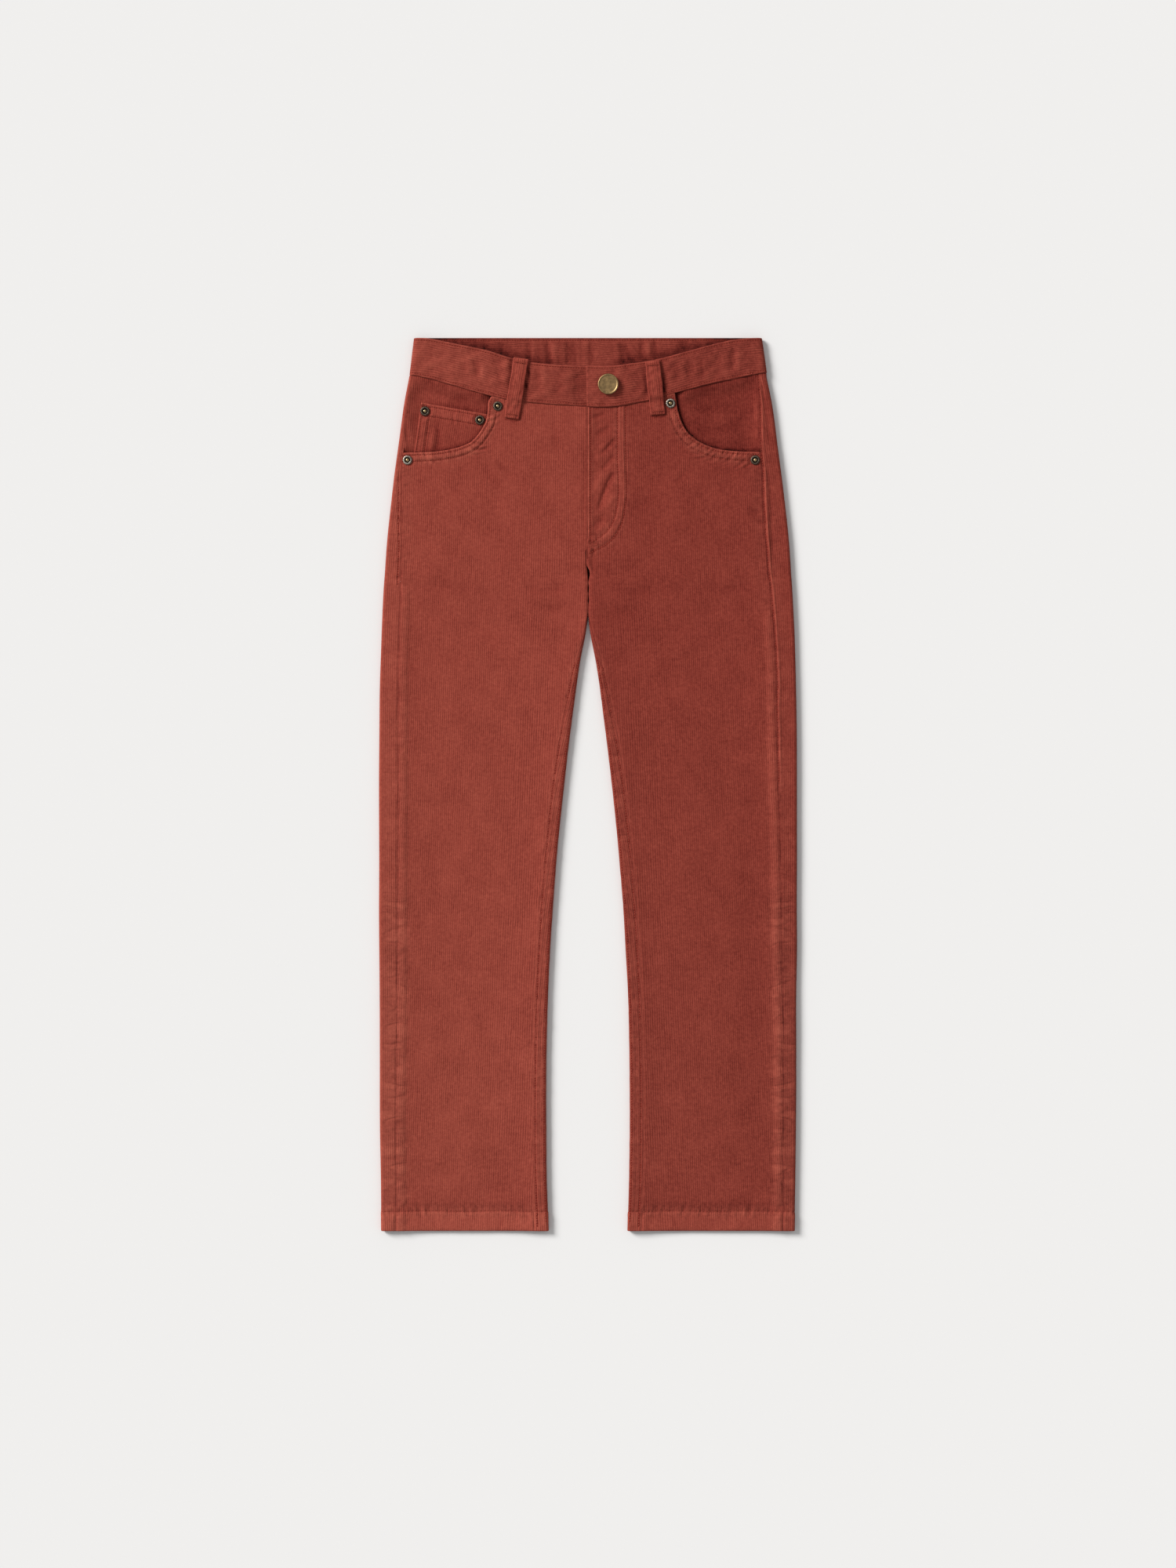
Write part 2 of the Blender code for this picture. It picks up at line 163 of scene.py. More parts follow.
def edgeRoll(distance, radius):
    # how far cloth drops where it turns over at an edge
    share = np.clip(1 - distance / radius, 0, 1)
    return radius * (1 - np.sqrt(1 - share * share))


# Sewn edges: heights and widths in millimetres, and tints as shares of the cloth's brightness
sewnEdge = {
    "dip": 0.24,
    "dipChange": 0.16,
    "dipSpacing": 21.0,
    "dipWidth": 0.8,
    "meetChange": 0.2,
    "meetSpacing": 12.0,
    "meetWidth": 1.1,
    "flatWidth": 0.8,       # the wales run out over this width
    "lineTint": -0.34,
    "lineWidth": 0.72,
    "lineSpacing": 47.0,
    # painted highlight on the ridge beside an inseam
    "ridgeHighlight": 0.12,
    "ridgeAt": 0.6,
    "ridgeWidth": 0.8,
}
# how far ridges are worn lighter and hollows darkened with painted shade, by their relief
wearAndShadeAmount = 0.27
wearAndShadeRange = (-0.5, 0.7)


def fadeFrom(distance, width):
    # 1 on a line, and softly down to 0 beside it
    return np.exp(-(distance / width) ** 2)


def seamRoll(distance, run, seed):
    # the same at a sewn edge, which only dips, and not evenly
    depth = sewnEdge["dip"] + sewnEdge["dipChange"] * wave(run, sewnEdge["dipSpacing"], seed)
    return depth * fadeFrom(distance, sewnEdge["dipWidth"])


def seamMeet(lift, distance, run, seed):
    # brings both sides of a seam to one height
    meeting = sewnEdge["meetChange"] * wave(run, sewnEdge["meetSpacing"], seed)
    return mix(lift, meeting, fadeFrom(distance, sewnEdge["meetWidth"]))


def wearAndShadeTint(raised):
    # ridges are worn lighter, and the hollows are darkened with painted shade
    return wearAndShadeAmount * np.clip(raised, *wearAndShadeRange)


def seamTint(side, distance, run):
    # a sewn edge shows as a thin dark line that comes and goes
    shown = np.clip(0.70 + 0.6 * wave(run, sewnEdge["lineSpacing"], 33 + sideSign[side]), 0.2, 1)
    if side == "right":
        shown = shown * ease((run - 92) / 20)
    return sewnEdge["lineTint"] * shown * fadeFrom(distance, sewnEdge["lineWidth"])


def inseamHighlight(distance):
    # and at an inseam a painted highlight on the ridge instead
    return sewnEdge["ridgeHighlight"] * fadeFrom(distance - sewnEdge["ridgeAt"], sewnEdge["ridgeWidth"])


def waleHeight(count):
    # 0 in the groove, 1 on top
    phase = count - np.floor(count)
    return np.interp(phase, (*corduroy["columns"], 1.0), (*corduroy["heights"], corduroy["heights"][0]))


def waleDrop(count, pressed, sewn):
    # how far the wales lie below their tops: pressed flat by stitches, and running out at seams
    drop = corduroy["depth"] * (1 - waleHeight(count)) * (1 - pressed)
    return drop * (1 - fadeFrom(sewn, sewnEdge["flatWidth"]))


def waleColumns(first, last):
    counts = [whole + part for whole in range(first, last) for part in corduroy["columns"]]
    return np.array(counts)


def crease(points, height, width, fade=0.3):
    # a ridge, or a trough if its height is below 0
    return {"kind": "crease", "path": smoothPath(points, 5.0), "height": height, "width": width,
            "fade": fade}


def creases(*rows):
    return [crease(*row) for row in rows]


def pucker(path, height, spacing, reach, slant, seed):
    # small gathers that cross a seam
    return {"kind": "pucker", "path": path, "height": height, "spacing": spacing, "reach": reach,
            "slant": slant, "seed": seed}


def seam(path, depth=0.34):
    # the channel that a row of stitches pulls
    return {"kind": "seam", "path": path, "height": -depth, "width": 0.75, "fade": 0.0}


def band(path, height, reach, side, ramp):
    # a raised strip on one side of a path, such as an allowance under the cloth
    return {"kind": "band", "path": path, "height": height, "reach": reach, "side": side, "ramp": ramp}


def relief(x, y, marks, rivets=()):
    # The height that the marks add, and how far they press the wales flat. Rivets hold it down.
    height = np.zeros(np.shape(x))
    pressed = np.zeros(np.shape(x))
    for mark in marks:
        reach = 2 * mark.get("reach", 0) + 2.5 * mark.get("width", 1.6)
        distance, run, side, total = nearPath(x, y, mark["path"], reach)
        if mark["kind"] == "pucker":
            near = fadeFrom(distance, mark["reach"])
            height += mark["height"] * near * wave(run + mark["slant"] * distance * side,
                                                   mark["spacing"], mark["seed"])
        elif mark["kind"] == "band":
            within = ease((1 - np.abs(2 * distance / mark["reach"] - 1)) / (2 * mark["ramp"]))
            near = np.where(side == mark["side"], within, 0)
            height += mark["height"] * near * (1 + 0.3 * wave(run, 11.0, 5))
        else:
            fade = mark["fade"] * total
            ends = 1.0
            if fade:
                ends = ease(run / fade) * ease((total - run) / fade)
            near = fadeFrom(distance, mark["width"]) * ends
            height += mark["height"] * near
            if mark["kind"] == "seam":
                height += 0.16 * fadeFrom(distance - 1.8, 0.9)
                pressed = np.maximum(pressed, 0.75 * near)
    for atX, atY in rivets:
        distance = np.hypot(x - atX, y - atY)
        held = ease((7.5 - distance) / 3.4)
        height = mix(height, -0.06, held) + 0.2 * fadeFrom(distance - 6.6, 1.4)
    return height, pressed


def weld(points, faces, values):
    # joins points that lie in one place, and drops the faces that this flattens
    keys = np.round(points * 2000).astype(np.int64)
    _, keep, where = np.unique(keys, axis=0, return_index=True, return_inverse=True)
    where = where.reshape(-1)
    kept = []
    for group in faces:
        group = where[group]
        clash = group == np.roll(group, -1, axis=1)
        kept.append(group[~clash.any(axis=1)])
        if group.shape[1] == 4:
            for corner in range(4):
                single = clash[:, corner] & (clash.sum(axis=1) == 1)
                kept.append(np.delete(group[single], corner, axis=1))
        else:
            for row in group[clash.any(axis=1)]:
                loop = [p for p, q in zip(row, np.roll(row, -1)) if p != q]
                if len(set(loop)) == len(loop) > 2:
                    kept.append(np.array([loop]))
    kept = [group[group[:, 0] != group[:, 2]] for group in kept if len(group)]
    return points[keep], [group for group in kept if len(group)], values[keep]


def makeMesh(name, points, faces, materials, weave=None, picks=None):
    # faces is a list of arrays, one for each number of corners
    triangles = np.concatenate([
        np.concatenate([group[:, [0, k, k + 1]] for k in range(1, group.shape[1] - 1)]) for group in faces])
    a, b, c = (points[triangles[:, k]] for k in range(3))
    if (a * np.cross(b, c)).sum() < 0:
        faces = [group[:, ::-1] for group in faces]
    mesh = bpy.data.meshes.new(name)
    mesh.vertices.add(len(points))
    mesh.vertices.foreach_set("co", (points * 0.001).astype(np.float32).ravel())
    corners = np.concatenate([group.ravel() for group in faces]).astype(np.int32)
    sizes = np.concatenate([np.full(len(group), group.shape[1]) for group in faces])
    mesh.loops.add(len(corners))
    mesh.loops.foreach_set("vertex_index", corners)
    mesh.polygons.add(len(sizes))
    starts = np.concatenate([[0], np.cumsum(sizes)[:-1]]).astype(np.int32)
    mesh.polygons.foreach_set("loop_start", starts)
    mesh.update(calc_edges=True)
    mesh.shade_smooth()
    if weave is not None:
        for key, first in (("weave", 0), ("gather", 3)):
            if weave.shape[1] > first:
                data = mesh.attributes.new(key, "FLOAT_VECTOR", "POINT").data
                data.foreach_set("vector", weave[:, first:first + 3].astype(np.float32).ravel())
    for material in materials:
        mesh.materials.append(material)
    if picks is not None:
        mesh.polygons.foreach_set("material_index", picks.astype(np.int32))
    made = bpy.data.objects.new(name, mesh)
    bpy.context.scene.collection.objects.link(made)
    return made


def numbered(*shape):
    return np.arange(math.prod(shape)).reshape(shape)


def gridQuads(grid):
    return np.stack([grid[:-1, :-1], grid[:-1, 1:], grid[1:, 1:], grid[1:, :-1]], axis=-1).reshape(-1, 4)


def clothMesh(name, outer, inner, weave, coarse, material):
    # A closed shell. The outer skin is a fine grid, and the inner one keeps each coarse-th column.
    # Both are given as rows by columns, and they share the points round the edge.
    rows, columns = outer.shape[:2]
    index = numbered(rows, columns)
    keep = np.unique(np.concatenate([np.arange(0, columns, coarse), [columns - 1]]))
    inside = index[:, keep].copy()
    extra = inner[1:-1, keep[1:-1]]
    added = numbered(*extra.shape[:2])
    inside[1:-1, 1:-1] = rows * columns + added
    points = np.concatenate([outer.reshape(-1, 3), extra.reshape(-1, 3)])
    kinds = weave.shape[-1]
    values = np.concatenate([weave.reshape(-1, kinds), weave[1:-1, keep[1:-1]].reshape(-1, kinds)])
    faces = [gridQuads(index), gridQuads(inside[1:-1])[:, ::-1]]
    for edge, second in ((0, 1), (rows - 1, rows - 2)):
        for k in range(len(keep) - 1):
            outerRun = list(index[edge, keep[k]:keep[k + 1] + 1])
            loop = outerRun + [inside[second, k + 1], inside[second, k]]
            faces.append(np.array([loop if edge else loop[::-1]]))
    points, faces, values = weld(points, faces, values)
    return makeMesh(name, points, faces, [material], values)


def gatherField(x, y, seams):
    # what the shader needs for the small gathers across seams: how far along the nearest seam, how far
    # from it, and how strong they are there
    field = np.zeros((*np.shape(x), 3))
    second = np.zeros(np.shape(x))
    for index, (path, reach, strength) in enumerate(seams):
        distance, run, side, _ = nearPath(x, y, path, 1.6 * reach)
        near = strength * np.exp(-(distance / reach) ** 4)
        closer = near > np.maximum(field[..., 2], 0.02)
        second = np.where(closer, field[..., 2], np.maximum(second, near))
        field[closer] = np.stack([run + 500 * index, distance * side, near], axis=-1)[closer]
    field[..., 2] -= second        # none where two seams are equally near
    return field


def faceUp(x, down, z):
    return np.stack([x, waistY - down, z], axis=-1)


def edgeGrid(piece):
    # the close rows next to an edge, how far in the even ones start, and the number of close ones
    steps = np.array(piece["edgeSteps"])
    return steps, piece["margin"], len(steps)


def startGrid(first, rows, last, columns):
    # the rows' places with room for the close ones, and the same for each column
    nominal = np.concatenate([np.zeros(first), rows, np.zeros(last)])
    return nominal, np.repeat(nominal[:, None], columns, axis=1)


def setColumns(grid, low, high, lines, steps, margin):
    # the even columns follow their lines within the margins, and the close ones follow both edges
    lead = len(steps)
    grid[:, lead:-lead] = np.clip(lines, low[:, lead:-lead] + margin, high[:, lead:-lead] - margin)
    grid[:, :lead] = low[:, :lead] + steps
    grid[:, -lead:] = high[:, -lead:] - steps[::-1]


def setRows(nominal, top, bottom, steps, margin):
    # and the same for rows
    lead = len(steps)
    grid = np.clip(nominal[:, None], top + margin, bottom - margin)
    grid[:lead] = top[:lead] + steps[:, None]
    grid[-lead:] = bottom - steps[::-1, None]
    return grid


def flatShell(name, x, down, outerFace, innerFace, weave, coarse):
    # a closed shell that faces up
    outerSkin, innerSkin = faceUp(x, down, outerFace), faceUp(x, down, innerFace)
    return clothMesh(name, outerSkin, innerSkin, weave, coarse, trouserCloth)


# A stitch's bead at five places along it, and the dark dimple between two stitches, painted needle-hole
# shade
beadShape = {
    "along": (0.0, 0.14, 0.5, 0.86, 1.0),
    "rise": (-0.16, 0.08, 0.18, 0.08, -0.16),
    "width": (0.35, 0.85, 1.0, 0.85, 0.35),
}
dimpleShape = {"rise": 0.16, "long": 0.42, "wide": 0.50, "top": 0.05, "bottom": -0.10, "lead": 0.2}


def stitchPieces(line, up, length, gap, hole, radius=0.25):
    # Thread along a line of points: each stitch is a rounded bead with its ends in the cloth, and
    # a dark dimple lies between it and the next, painted shade for the needle hole.
    run = wayAlong(line)
    count = max(1, int(run[-1] // (length + gap)))
    pitch = run[-1] / count

    def place(spots):
        centres = np.stack([np.interp(spots, run, line[:, k]) for k in range(3)], axis=-1)
        ups = np.stack([np.interp(spots, run, up[:, k]) for k in range(3)], axis=-1)
        ups /= np.linalg.norm(ups, axis=-1, keepdims=True)
        along = centres[:, -1:] - centres[:, :1]
        along = along / np.linalg.norm(along, axis=-1, keepdims=True)
        return centres, ups, along, np.cross(ups, along)

    starts = (np.arange(count) + 0.5) * pitch - length / 2
    centres, ups, along, across = place(starts[:, None] + length * np.array(beadShape["along"]))
    width = np.array(beadShape["width"]) * radius
    centres = centres + ups * np.array(beadShape["rise"])[None, :, None]
    corners = 6
    turns = np.arange(corners) * math.pi / 3
    ring = (across[:, :, None] * np.cos(turns)[None, None, :, None]
            + ups[:, :, None] * np.sin(turns)[None, None, :, None])
    beads = centres[:, :, None] + ring * width[None, :, None, None]
    first = count * len(width) * corners
    index = numbered(count, len(width), corners)
    nextOne = np.roll(index, -1, axis=2)
    sides = np.stack([index[:, :-1], nextOne[:, :-1], nextOne[:, 1:], index[:, 1:]], axis=-1)
    caps = np.concatenate([index[:, 0], index[:, -1, ::-1]])
    # the dimples, as low lens-shaped discs, dark with painted needle-hole shade
    lead = dimpleShape["lead"]
    spots = np.arange(count + 1)[:, None] * pitch + np.array([-lead, 0.0, lead])
    centres, ups, along, across = place(np.clip(spots, 0, run[-1]))
    middle, upward = centres[:, 1], ups[:, 1]
    rim = (middle[:, None] + dimpleShape["rise"] * upward[:, None]
           + dimpleShape["long"] * hole * along * np.cos(turns)[None, :, None]
           + dimpleShape["wide"] * hole * across[:, 1:2] * np.sin(turns)[None, :, None])
    tips = np.stack([middle + dimpleShape["top"] * upward, middle + dimpleShape["bottom"] * upward], axis=1)
    dimples = count + 1
    rims = first + numbered(dimples, corners)
    ends = first + dimples * corners + numbered(dimples, 2)
    after = np.roll(rims, -1, axis=1)
    tops = np.stack([rims, after, np.repeat(ends[:, :1], corners, axis=1)], axis=-1).reshape(-1, 3)
    bottoms = np.stack([after, rims, np.repeat(ends[:, 1:], corners, axis=1)], axis=-1).reshape(-1, 3)
    points = np.concatenate([beads.reshape(-1, 3), rim.reshape(-1, 3), tips.reshape(-1, 3)])
    return points, sides.reshape(-1, 4), caps, np.concatenate([tops, bottoms])


def threadPiece(name, rows, materials):
    # one mesh from many rows of stitches: their beads, then their dimples, which paint the needle holes'
    # shade
    allPoints, allFaces = [], ([], [], [])
    start = 0
    for points, *faces in rows:
        allPoints.append(points)
        for kept, group in zip(allFaces, faces):
            kept.append(group + start)
        start += len(points)
    faces = [np.concatenate(kept) for kept in allFaces]
    picks = np.concatenate([np.full(len(group), group.shape[1] == 3) for group in faces])
    made = makeMesh(name, np.concatenate(allPoints), faces, materials, None, picks)
    made.data.polygons.foreach_set("use_smooth", ~picks)
    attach(made, "root")
    return made


def newMaterial(name):
    # a material, a short way to add and join its nodes, and one to fill in its shader
    material = bpy.data.materials.new(name)
    material.use_nodes = True
    tree = material.node_tree

    def fill(node, inputs):
        for socket, value in dict(inputs).items():
            if hasattr(value, "is_linked"):
                tree.links.new(value, node.inputs[socket])
            else:
                node.inputs[socket].default_value = value
        return node

    def add(kind, inputs=(), **settings):
        node = tree.nodes.new("ShaderNode" + kind)
        for key, value in settings.items():
            setattr(node, key, value)
        return fill(node, inputs)

    return material, add, lambda inputs: fill(tree.nodes["Principled BSDF"], inputs)


# Colours, then amounts of brightness round 1. Noise scales are for each wale and each millimetre along it.
clothLook = {
    "light": (0.284, 0.0505, 0.0337),       # the wales' tops
    "deep": (0.177, 0.0268, 0.0182),        # their grooves
    "groove": (0.2, 0.5),                   # where a groove starts and is deepest, from the wale's top
    "level": 0.022,
    "streaks": 0.27,
    "tufts": 0.62,
    "fibres": 0.80,
    "mottle": 0.30,
    "troughs": -0.13,                       # painted shade in the troughs of small gathers across seams
    "ridges": 0.95,
    "gatherScale": (0.088, 0.030),
    "paleSeams": 0.075,
    "paleFrom": 250.0,                      # the nap gets paler from here down
    "paleTo": 650.0,
    "pale": 0.04,
    "palePowers": (1.5, 1.45),              # how green and blue follow
    "finish": {"Roughness": 0.95, "Specular IOR Level": 0.12, "Sheen Weight": 0.12, "Sheen Roughness": 0.45,
               "Sheen Tint": (1.0, 0.45, 0.33, 1)},
}


def clothMaterial(name):
    # The weave attribute holds the wale count, the way along it, and how light the nap lies, with painted
    # shade and highlights added in.
    look = clothLook
    material, add, finish = newMaterial(name)
    weave = add("Attribute", attribute_name="weave")
    parts = add("SeparateXYZ", {"Vector": weave.outputs["Vector"]})

    def sums(first, second, third=0.0, operation="MULTIPLY_ADD"):
        return add("Math", {0: first, 1: second, 2: third}, operation=operation).outputs[0]

    def napNoise(across, along, detail=2.0, shift=0.0):
        place = add("CombineXYZ", {"X": sums(parts.outputs["X"], across),
                                             "Y": sums(parts.outputs["Y"], along), "Z": shift})
        return add("TexNoise", {"Vector": place.outputs[0], "Scale": 1.0, "Detail": detail,
                                          "Roughness": 0.6}).outputs[0]

    # the wales waver, and their grooves open and close
    waver = sums(napNoise(0.33, 0.10, 1.0, 3.0), 0.5, -0.25)
    phase = sums(sums(parts.outputs["X"], waver, operation="ADD"), 0.0, operation="FRACT")
    fromTop = sums(sums(phase, 0.5, operation="SUBTRACT"), 0.0, operation="ABSOLUTE")
    groove = add("MapRange", {"Value": fromTop, "From Min": look["groove"][0],
                                        "From Max": look["groove"][1]},
                 interpolation_type="SMOOTHSTEP").outputs[0]
    groove = sums(groove, sums(napNoise(0.95, 0.20, 2.0, 7.0), 2.1, -0.28), operation="MULTIPLY")
    groove = sums(groove, sums(napNoise(0.07, 0.035, 1.0, 19.0), 2.3, -0.26), operation="MULTIPLY")
    base = add("Mix", {0: groove, 6: (*look["light"], 1), 7: (*look["deep"], 1)},
               data_type="RGBA")
    # brightness round 1: brushed streaks, tufts, fibres, broad mottling and the nap's tint, which also
    # carries painted shade and highlights
    fibres = napNoise(3.2, 1.1)
    place = add("TexCoord")
    mottle = add("TexNoise", {"Vector": place.outputs["Object"], "Scale": 70.0, "Detail": 3.0,
                                        "Roughness": 0.6}).outputs[0]
    shade = sums(napNoise(0.8, 0.06, 3.0), look["streaks"], sums(parts.outputs["Z"], 1.0, look["level"]))
    shade = sums(napNoise(0.62, 0.36, 2.0, 11.0), look["tufts"], shade)
    shade = sums(fibres, look["fibres"], shade)
    shade = sums(mottle, look["mottle"], shade)
    # small gathers across the seams: painted shade in narrow troughs between broad worn ridges
    gather = add("Attribute", attribute_name="gather")
    seamParts = add("SeparateXYZ", {"Vector": gather.outputs["Vector"]})
    alongScale, acrossScale = look["gatherScale"]
    spot = add("CombineXYZ", {"X": sums(seamParts.outputs["X"], alongScale),
                                        "Y": sums(seamParts.outputs["Y"], acrossScale), "Z": 5.0})
    ripple = add("TexNoise", {"Vector": spot.outputs[0], "Scale": 1.0, "Detail": 1.4,
                                        "Roughness": 0.5}).outputs[0]
    fromLine = sums(sums(ripple, 0.5, operation="SUBTRACT"), 0.0, operation="ABSOLUTE")
    trough = add("MapRange", {"Value": fromLine, "From Min": 0.0, "From Max": 0.08, "To Min": 1.0,
                                        "To Max": 0.0}, interpolation_type="SMOOTHSTEP").outputs[0]
    trough = sums(trough, seamParts.outputs["Z"], operation="MULTIPLY")
    ridge = sums(sums(ripple, 1.0, -0.47), seamParts.outputs["Z"], operation="MULTIPLY")
    shade = sums(trough, look["troughs"], shade)
    shade = sums(ridge, look["ridges"], shade)
    # worn nap is paler as well as lighter
    pale = add("MapRange", {"Value": parts.outputs["Y"], "From Min": look["paleFrom"],
                                      "From Max": look["paleTo"], "To Min": 0.0,
                                      "To Max": look["pale"]}).outputs[0]
    worn = sums(seamParts.outputs["Z"], look["paleSeams"], sums(shade, pale, operation="ADD"))
    green, blue = [sums(worn, power, operation="POWER") for power in look["palePowers"]]
    tone = add("CombineXYZ", {"X": shade, "Y": green, "Z": blue})
    colour = add("VectorMath", {0: base.outputs[2], 1: tone.outputs[0]}, operation="MULTIPLY")
    height = sums(trough, -1.0, sums(fibres, 0.6))
    bump = add("Bump", {"Height": height, "Strength": 0.5, "Distance": 0.0005})
    finish({"Base Color": colour.outputs[0], "Normal": bump.outputs[0], **look["finish"]})
    return material


# Two colours in uneven patches, the patches' scale and detail, the roughness and the shine
threadFinish = {
    "sewingThread": ((0.27, 0.047, 0.031), (0.38, 0.076, 0.050), 900.0, 2.0, 0.9, 0.12),
    # dark discs between stitches: painted shade of the needle holes
    "needleHoleShade": ((0.145, 0.0150, 0.0105), (0.235, 0.029, 0.020), 700.0, 1.0, 0.95, 0.05),
}


def threadMaterial(name):
    first, second, scale, detail, roughness, shine = threadFinish[name]
    material, add, finish = newMaterial(name)
    place = add("TexCoord")
    uneven = add("TexNoise", {"Vector": place.outputs["Object"], "Scale": scale,
                                        "Detail": detail})
    colour = add("Mix", {0: uneven.outputs[0], 6: (*first, 1), 7: (*second, 1)}, data_type="RGBA")
    finish({"Base Color": colour.outputs[2], "Roughness": roughness, "Specular IOR Level": shine})
    return material


# The bright and the dull colour, the roughness, and the stains' scale
metalFinish = {
    "antiqueBrass": ((0.40, 0.262, 0.120), (0.27, 0.176, 0.084), 0.47, 400.0),
    "darkBronze": ((0.145, 0.110, 0.082), (0.055, 0.040, 0.030), 0.52, 900.0),
    "paleNickel": ((0.46, 0.42, 0.36), (0.14, 0.12, 0.095), 0.44, 900.0),
    "rivetPost": ((0.62, 0.44, 0.24), (0.30, 0.20, 0.10), 0.32, 500.0),
    # near black: painted shade in the sunk well round the post
    "rivetWellShade": ((0.020, 0.016, 0.012), (0.008, 0.006, 0.005), 0.6, 500.0),
}


def metalMaterial(name):
    # worn metal: its high places are brighter
    bright, dull, roughness, scale = metalFinish[name]
    material, add, finish = newMaterial(name)
    place = add("TexCoord")
    stain = add("TexNoise", {"Vector": place.outputs["Object"], "Scale": scale, "Detail": 4.0,
                                       "Roughness": 0.65})
    worn = add("MapRange", {"Value": stain.outputs[0], "From Min": 0.35, "From Max": 0.68},
               interpolation_type="SMOOTHSTEP")
    colour = add("Mix", {0: worn.outputs[0], 6: (*dull, 1), 7: (*bright, 1)}, data_type="RGBA")
    rough = add("Math", {0: stain.outputs[0], 1: 0.25, 2: roughness - 0.12},
                operation="MULTIPLY_ADD")
    bump = add("Bump", {"Height": stain.outputs[0], "Strength": 0.25, "Distance": 0.0001})
    finish({"Base Color": colour.outputs[2], "Roughness": rough.outputs[0], "Normal": bump.outputs[0],
            "Metallic": 1.0})
    return material


trouserCloth = clothMaterial("rustCorduroy")
sewingThread = [threadMaterial(name) for name in threadFinish]
metals = {name: metalMaterial(name) for name in metalFinish}
print("materials made")


# down, half width, half gap, side seam's inset right and left, inseam's inset
legRows = np.array([
    (33.0, 150.7, 0.005, 2.5, 8.0, 0.2),
    (59.1, 155.6, 0.005, 2.9, 11.0, 0.2),
    (74.3, 157.7, 0.005, 3.0, 13.2, 0.2),
    (90.8, 159.9, 0.005, 5.0, 14.9, 0.2),
    (111.9, 162.8, 0.005, 5.8, 16.1, 0.2),
    (140.3, 166.2, 0.005, 9.0, 18.6, 0.2),
    (170.6, 169.4, 0.005, 12.2, 20.0, 0.2),
    (187.0, 170.6, 0.005, 13.3, 19.9, 0.2),
    (200.0, 171.4, 0.005, 13.7, 19.4, 2.6),
    (208.0, 172.0, 0.005, 14.0, 18.9, 3.0),
    (224.0, 172.9, 0.005, 14.4, 18.3, 3.2),
    (234.0, 173.4, 0.012, 14.55, 17.9, 3.4),
    (243.9, 173.9, 1.2, 14.7, 17.6, 3.6),
    (276.2, 175.1, 6.9, 15.2, 16.8, 5.5),
    (323.1, 175.9, 13.5, 15.6, 17.0, 9.5),
    (375.9, 176.2, 19.8, 15.8, 16.2, 11.3),
    (441.9, 176.2, 26.4, 15.5, 14.3, 11.6),
    (512.5, 176.1, 31.5, 15.0, 13.2, 11.6),
    (573.9, 175.6, 34.1, 14.2, 11.2, 11.6),
    (639.9, 175.6, 35.0, 13.5, 11.0, 11.6),
    (705.9, 174.9, 34.5, 12.8, 10.6, 11.9),
    (752.4, 174.2, 33.0, 12.3, 9.9, 12.0),
])
legOuter = smoothCurve(legRows[:, 0], legRows[:, 1])
legGap = smoothCurve(legRows[:, 0], legRows[:, 2])
evenInset = {
    "right": smoothCurve(legRows[:, 0], legRows[:, 3]),
    "left": smoothCurve(legRows[:, 0], legRows[:, 4]),
}
seamWander = {"right": (41.0, 4), "left": (37.0, 8)}     # spacing and seed of the side seams' slight bends
inseamInset = smoothCurve(legRows[8:, 0], legRows[8:, 5])
hemDown = 752.4
flyEndDown = 187.0


def sideInset(side, down):
    spacing, seed = seamWander[side]
    return evenInset[side](down) + 0.32 * wave(down, spacing, seed) * ease((down - 90) / 60)


def sideSeamOut(side, down):
    return legOuter(down) - sideInset(side, down)


def innerInset(down):
    # from the inner fold to the inseam, which runs into the fold near the crotch
    return mix(0.12, inseamInset(down), ease((down - 222) / 50))


def turnUp(down):
    # how far a back turns up round the inner fold, in half turns
    left = np.clip(1 - (innerInset(down) - 0.1) / foldRadius, 0, 1)
    return (1 - np.arcsin(left) / math.pi) * ease((down - 190) / 14)


# The front waistband's edges: out and down at the top, out and down below, and the upper face
bandRows = {
    "right": np.array([
        (-24.0, 23.9, -24.0, 57.0, 4.3), (-3.5, 23.8, -3.5, 57.8, 4.3), (3.5, 23.8, 3.5, 58.2, 4.35),
        (16.5, 23.4, 14.5, 57.4, 5.8), (35.0, 22.2, 29.0, 56.4, 6.0), (50.2, 20.5, 48.2, 54.8, 6.0),
        (64.7, 17.2, 68.6, 52.1, 6.0), (85.8, 10.6, 89.8, 47.2, 6.0), (106.3, 6.3, 105.6, 42.7, 6.0),
        (121.4, 3.2, 122.1, 37.9, 6.0), (136.0, 0.5, 137.0, 33.9, 6.0), (143.7, 0.3, 147.5, 31.9, 6.0),
    ]),
    "left": np.array([
        (-1.5, 23.8, -1.0, 58.4, 6.6), (13.2, 24.0, 13.2, 58.6, 6.6), (23.1, 23.7, 30.0, 57.3, 6.6),
        (31.0, 22.5, 42.2, 54.8, 6.4), (48.2, 20.1, 52.1, 52.9, 6.1), (60.7, 17.7, 66.7, 48.5, 6.0),
        (79.2, 12.8, 85.1, 43.8, 6.0), (97.0, 7.9, 103.0, 39.1, 6.0), (115.5, 3.3, 121.4, 35.3, 6.0),
        (134.0, 0.6, 137.0, 31.9, 6.0), (143.7, 0.3, 147.9, 29.9, 6.0),
    ]),
}
bandLow = {side: smoothCurve(rows[:, 2], rows[:, 3]) for side, rows in bandRows.items()}
bandTop = {side: smoothCurve(rows[:, 0], rows[:, 1]) for side, rows in bandRows.items()}
bandFace = {side: smoothCurve(rows[:, 0], rows[:, 4]) for side, rows in bandRows.items()}
bandBackDown = 33.0     # the band's lower edge at the centre back

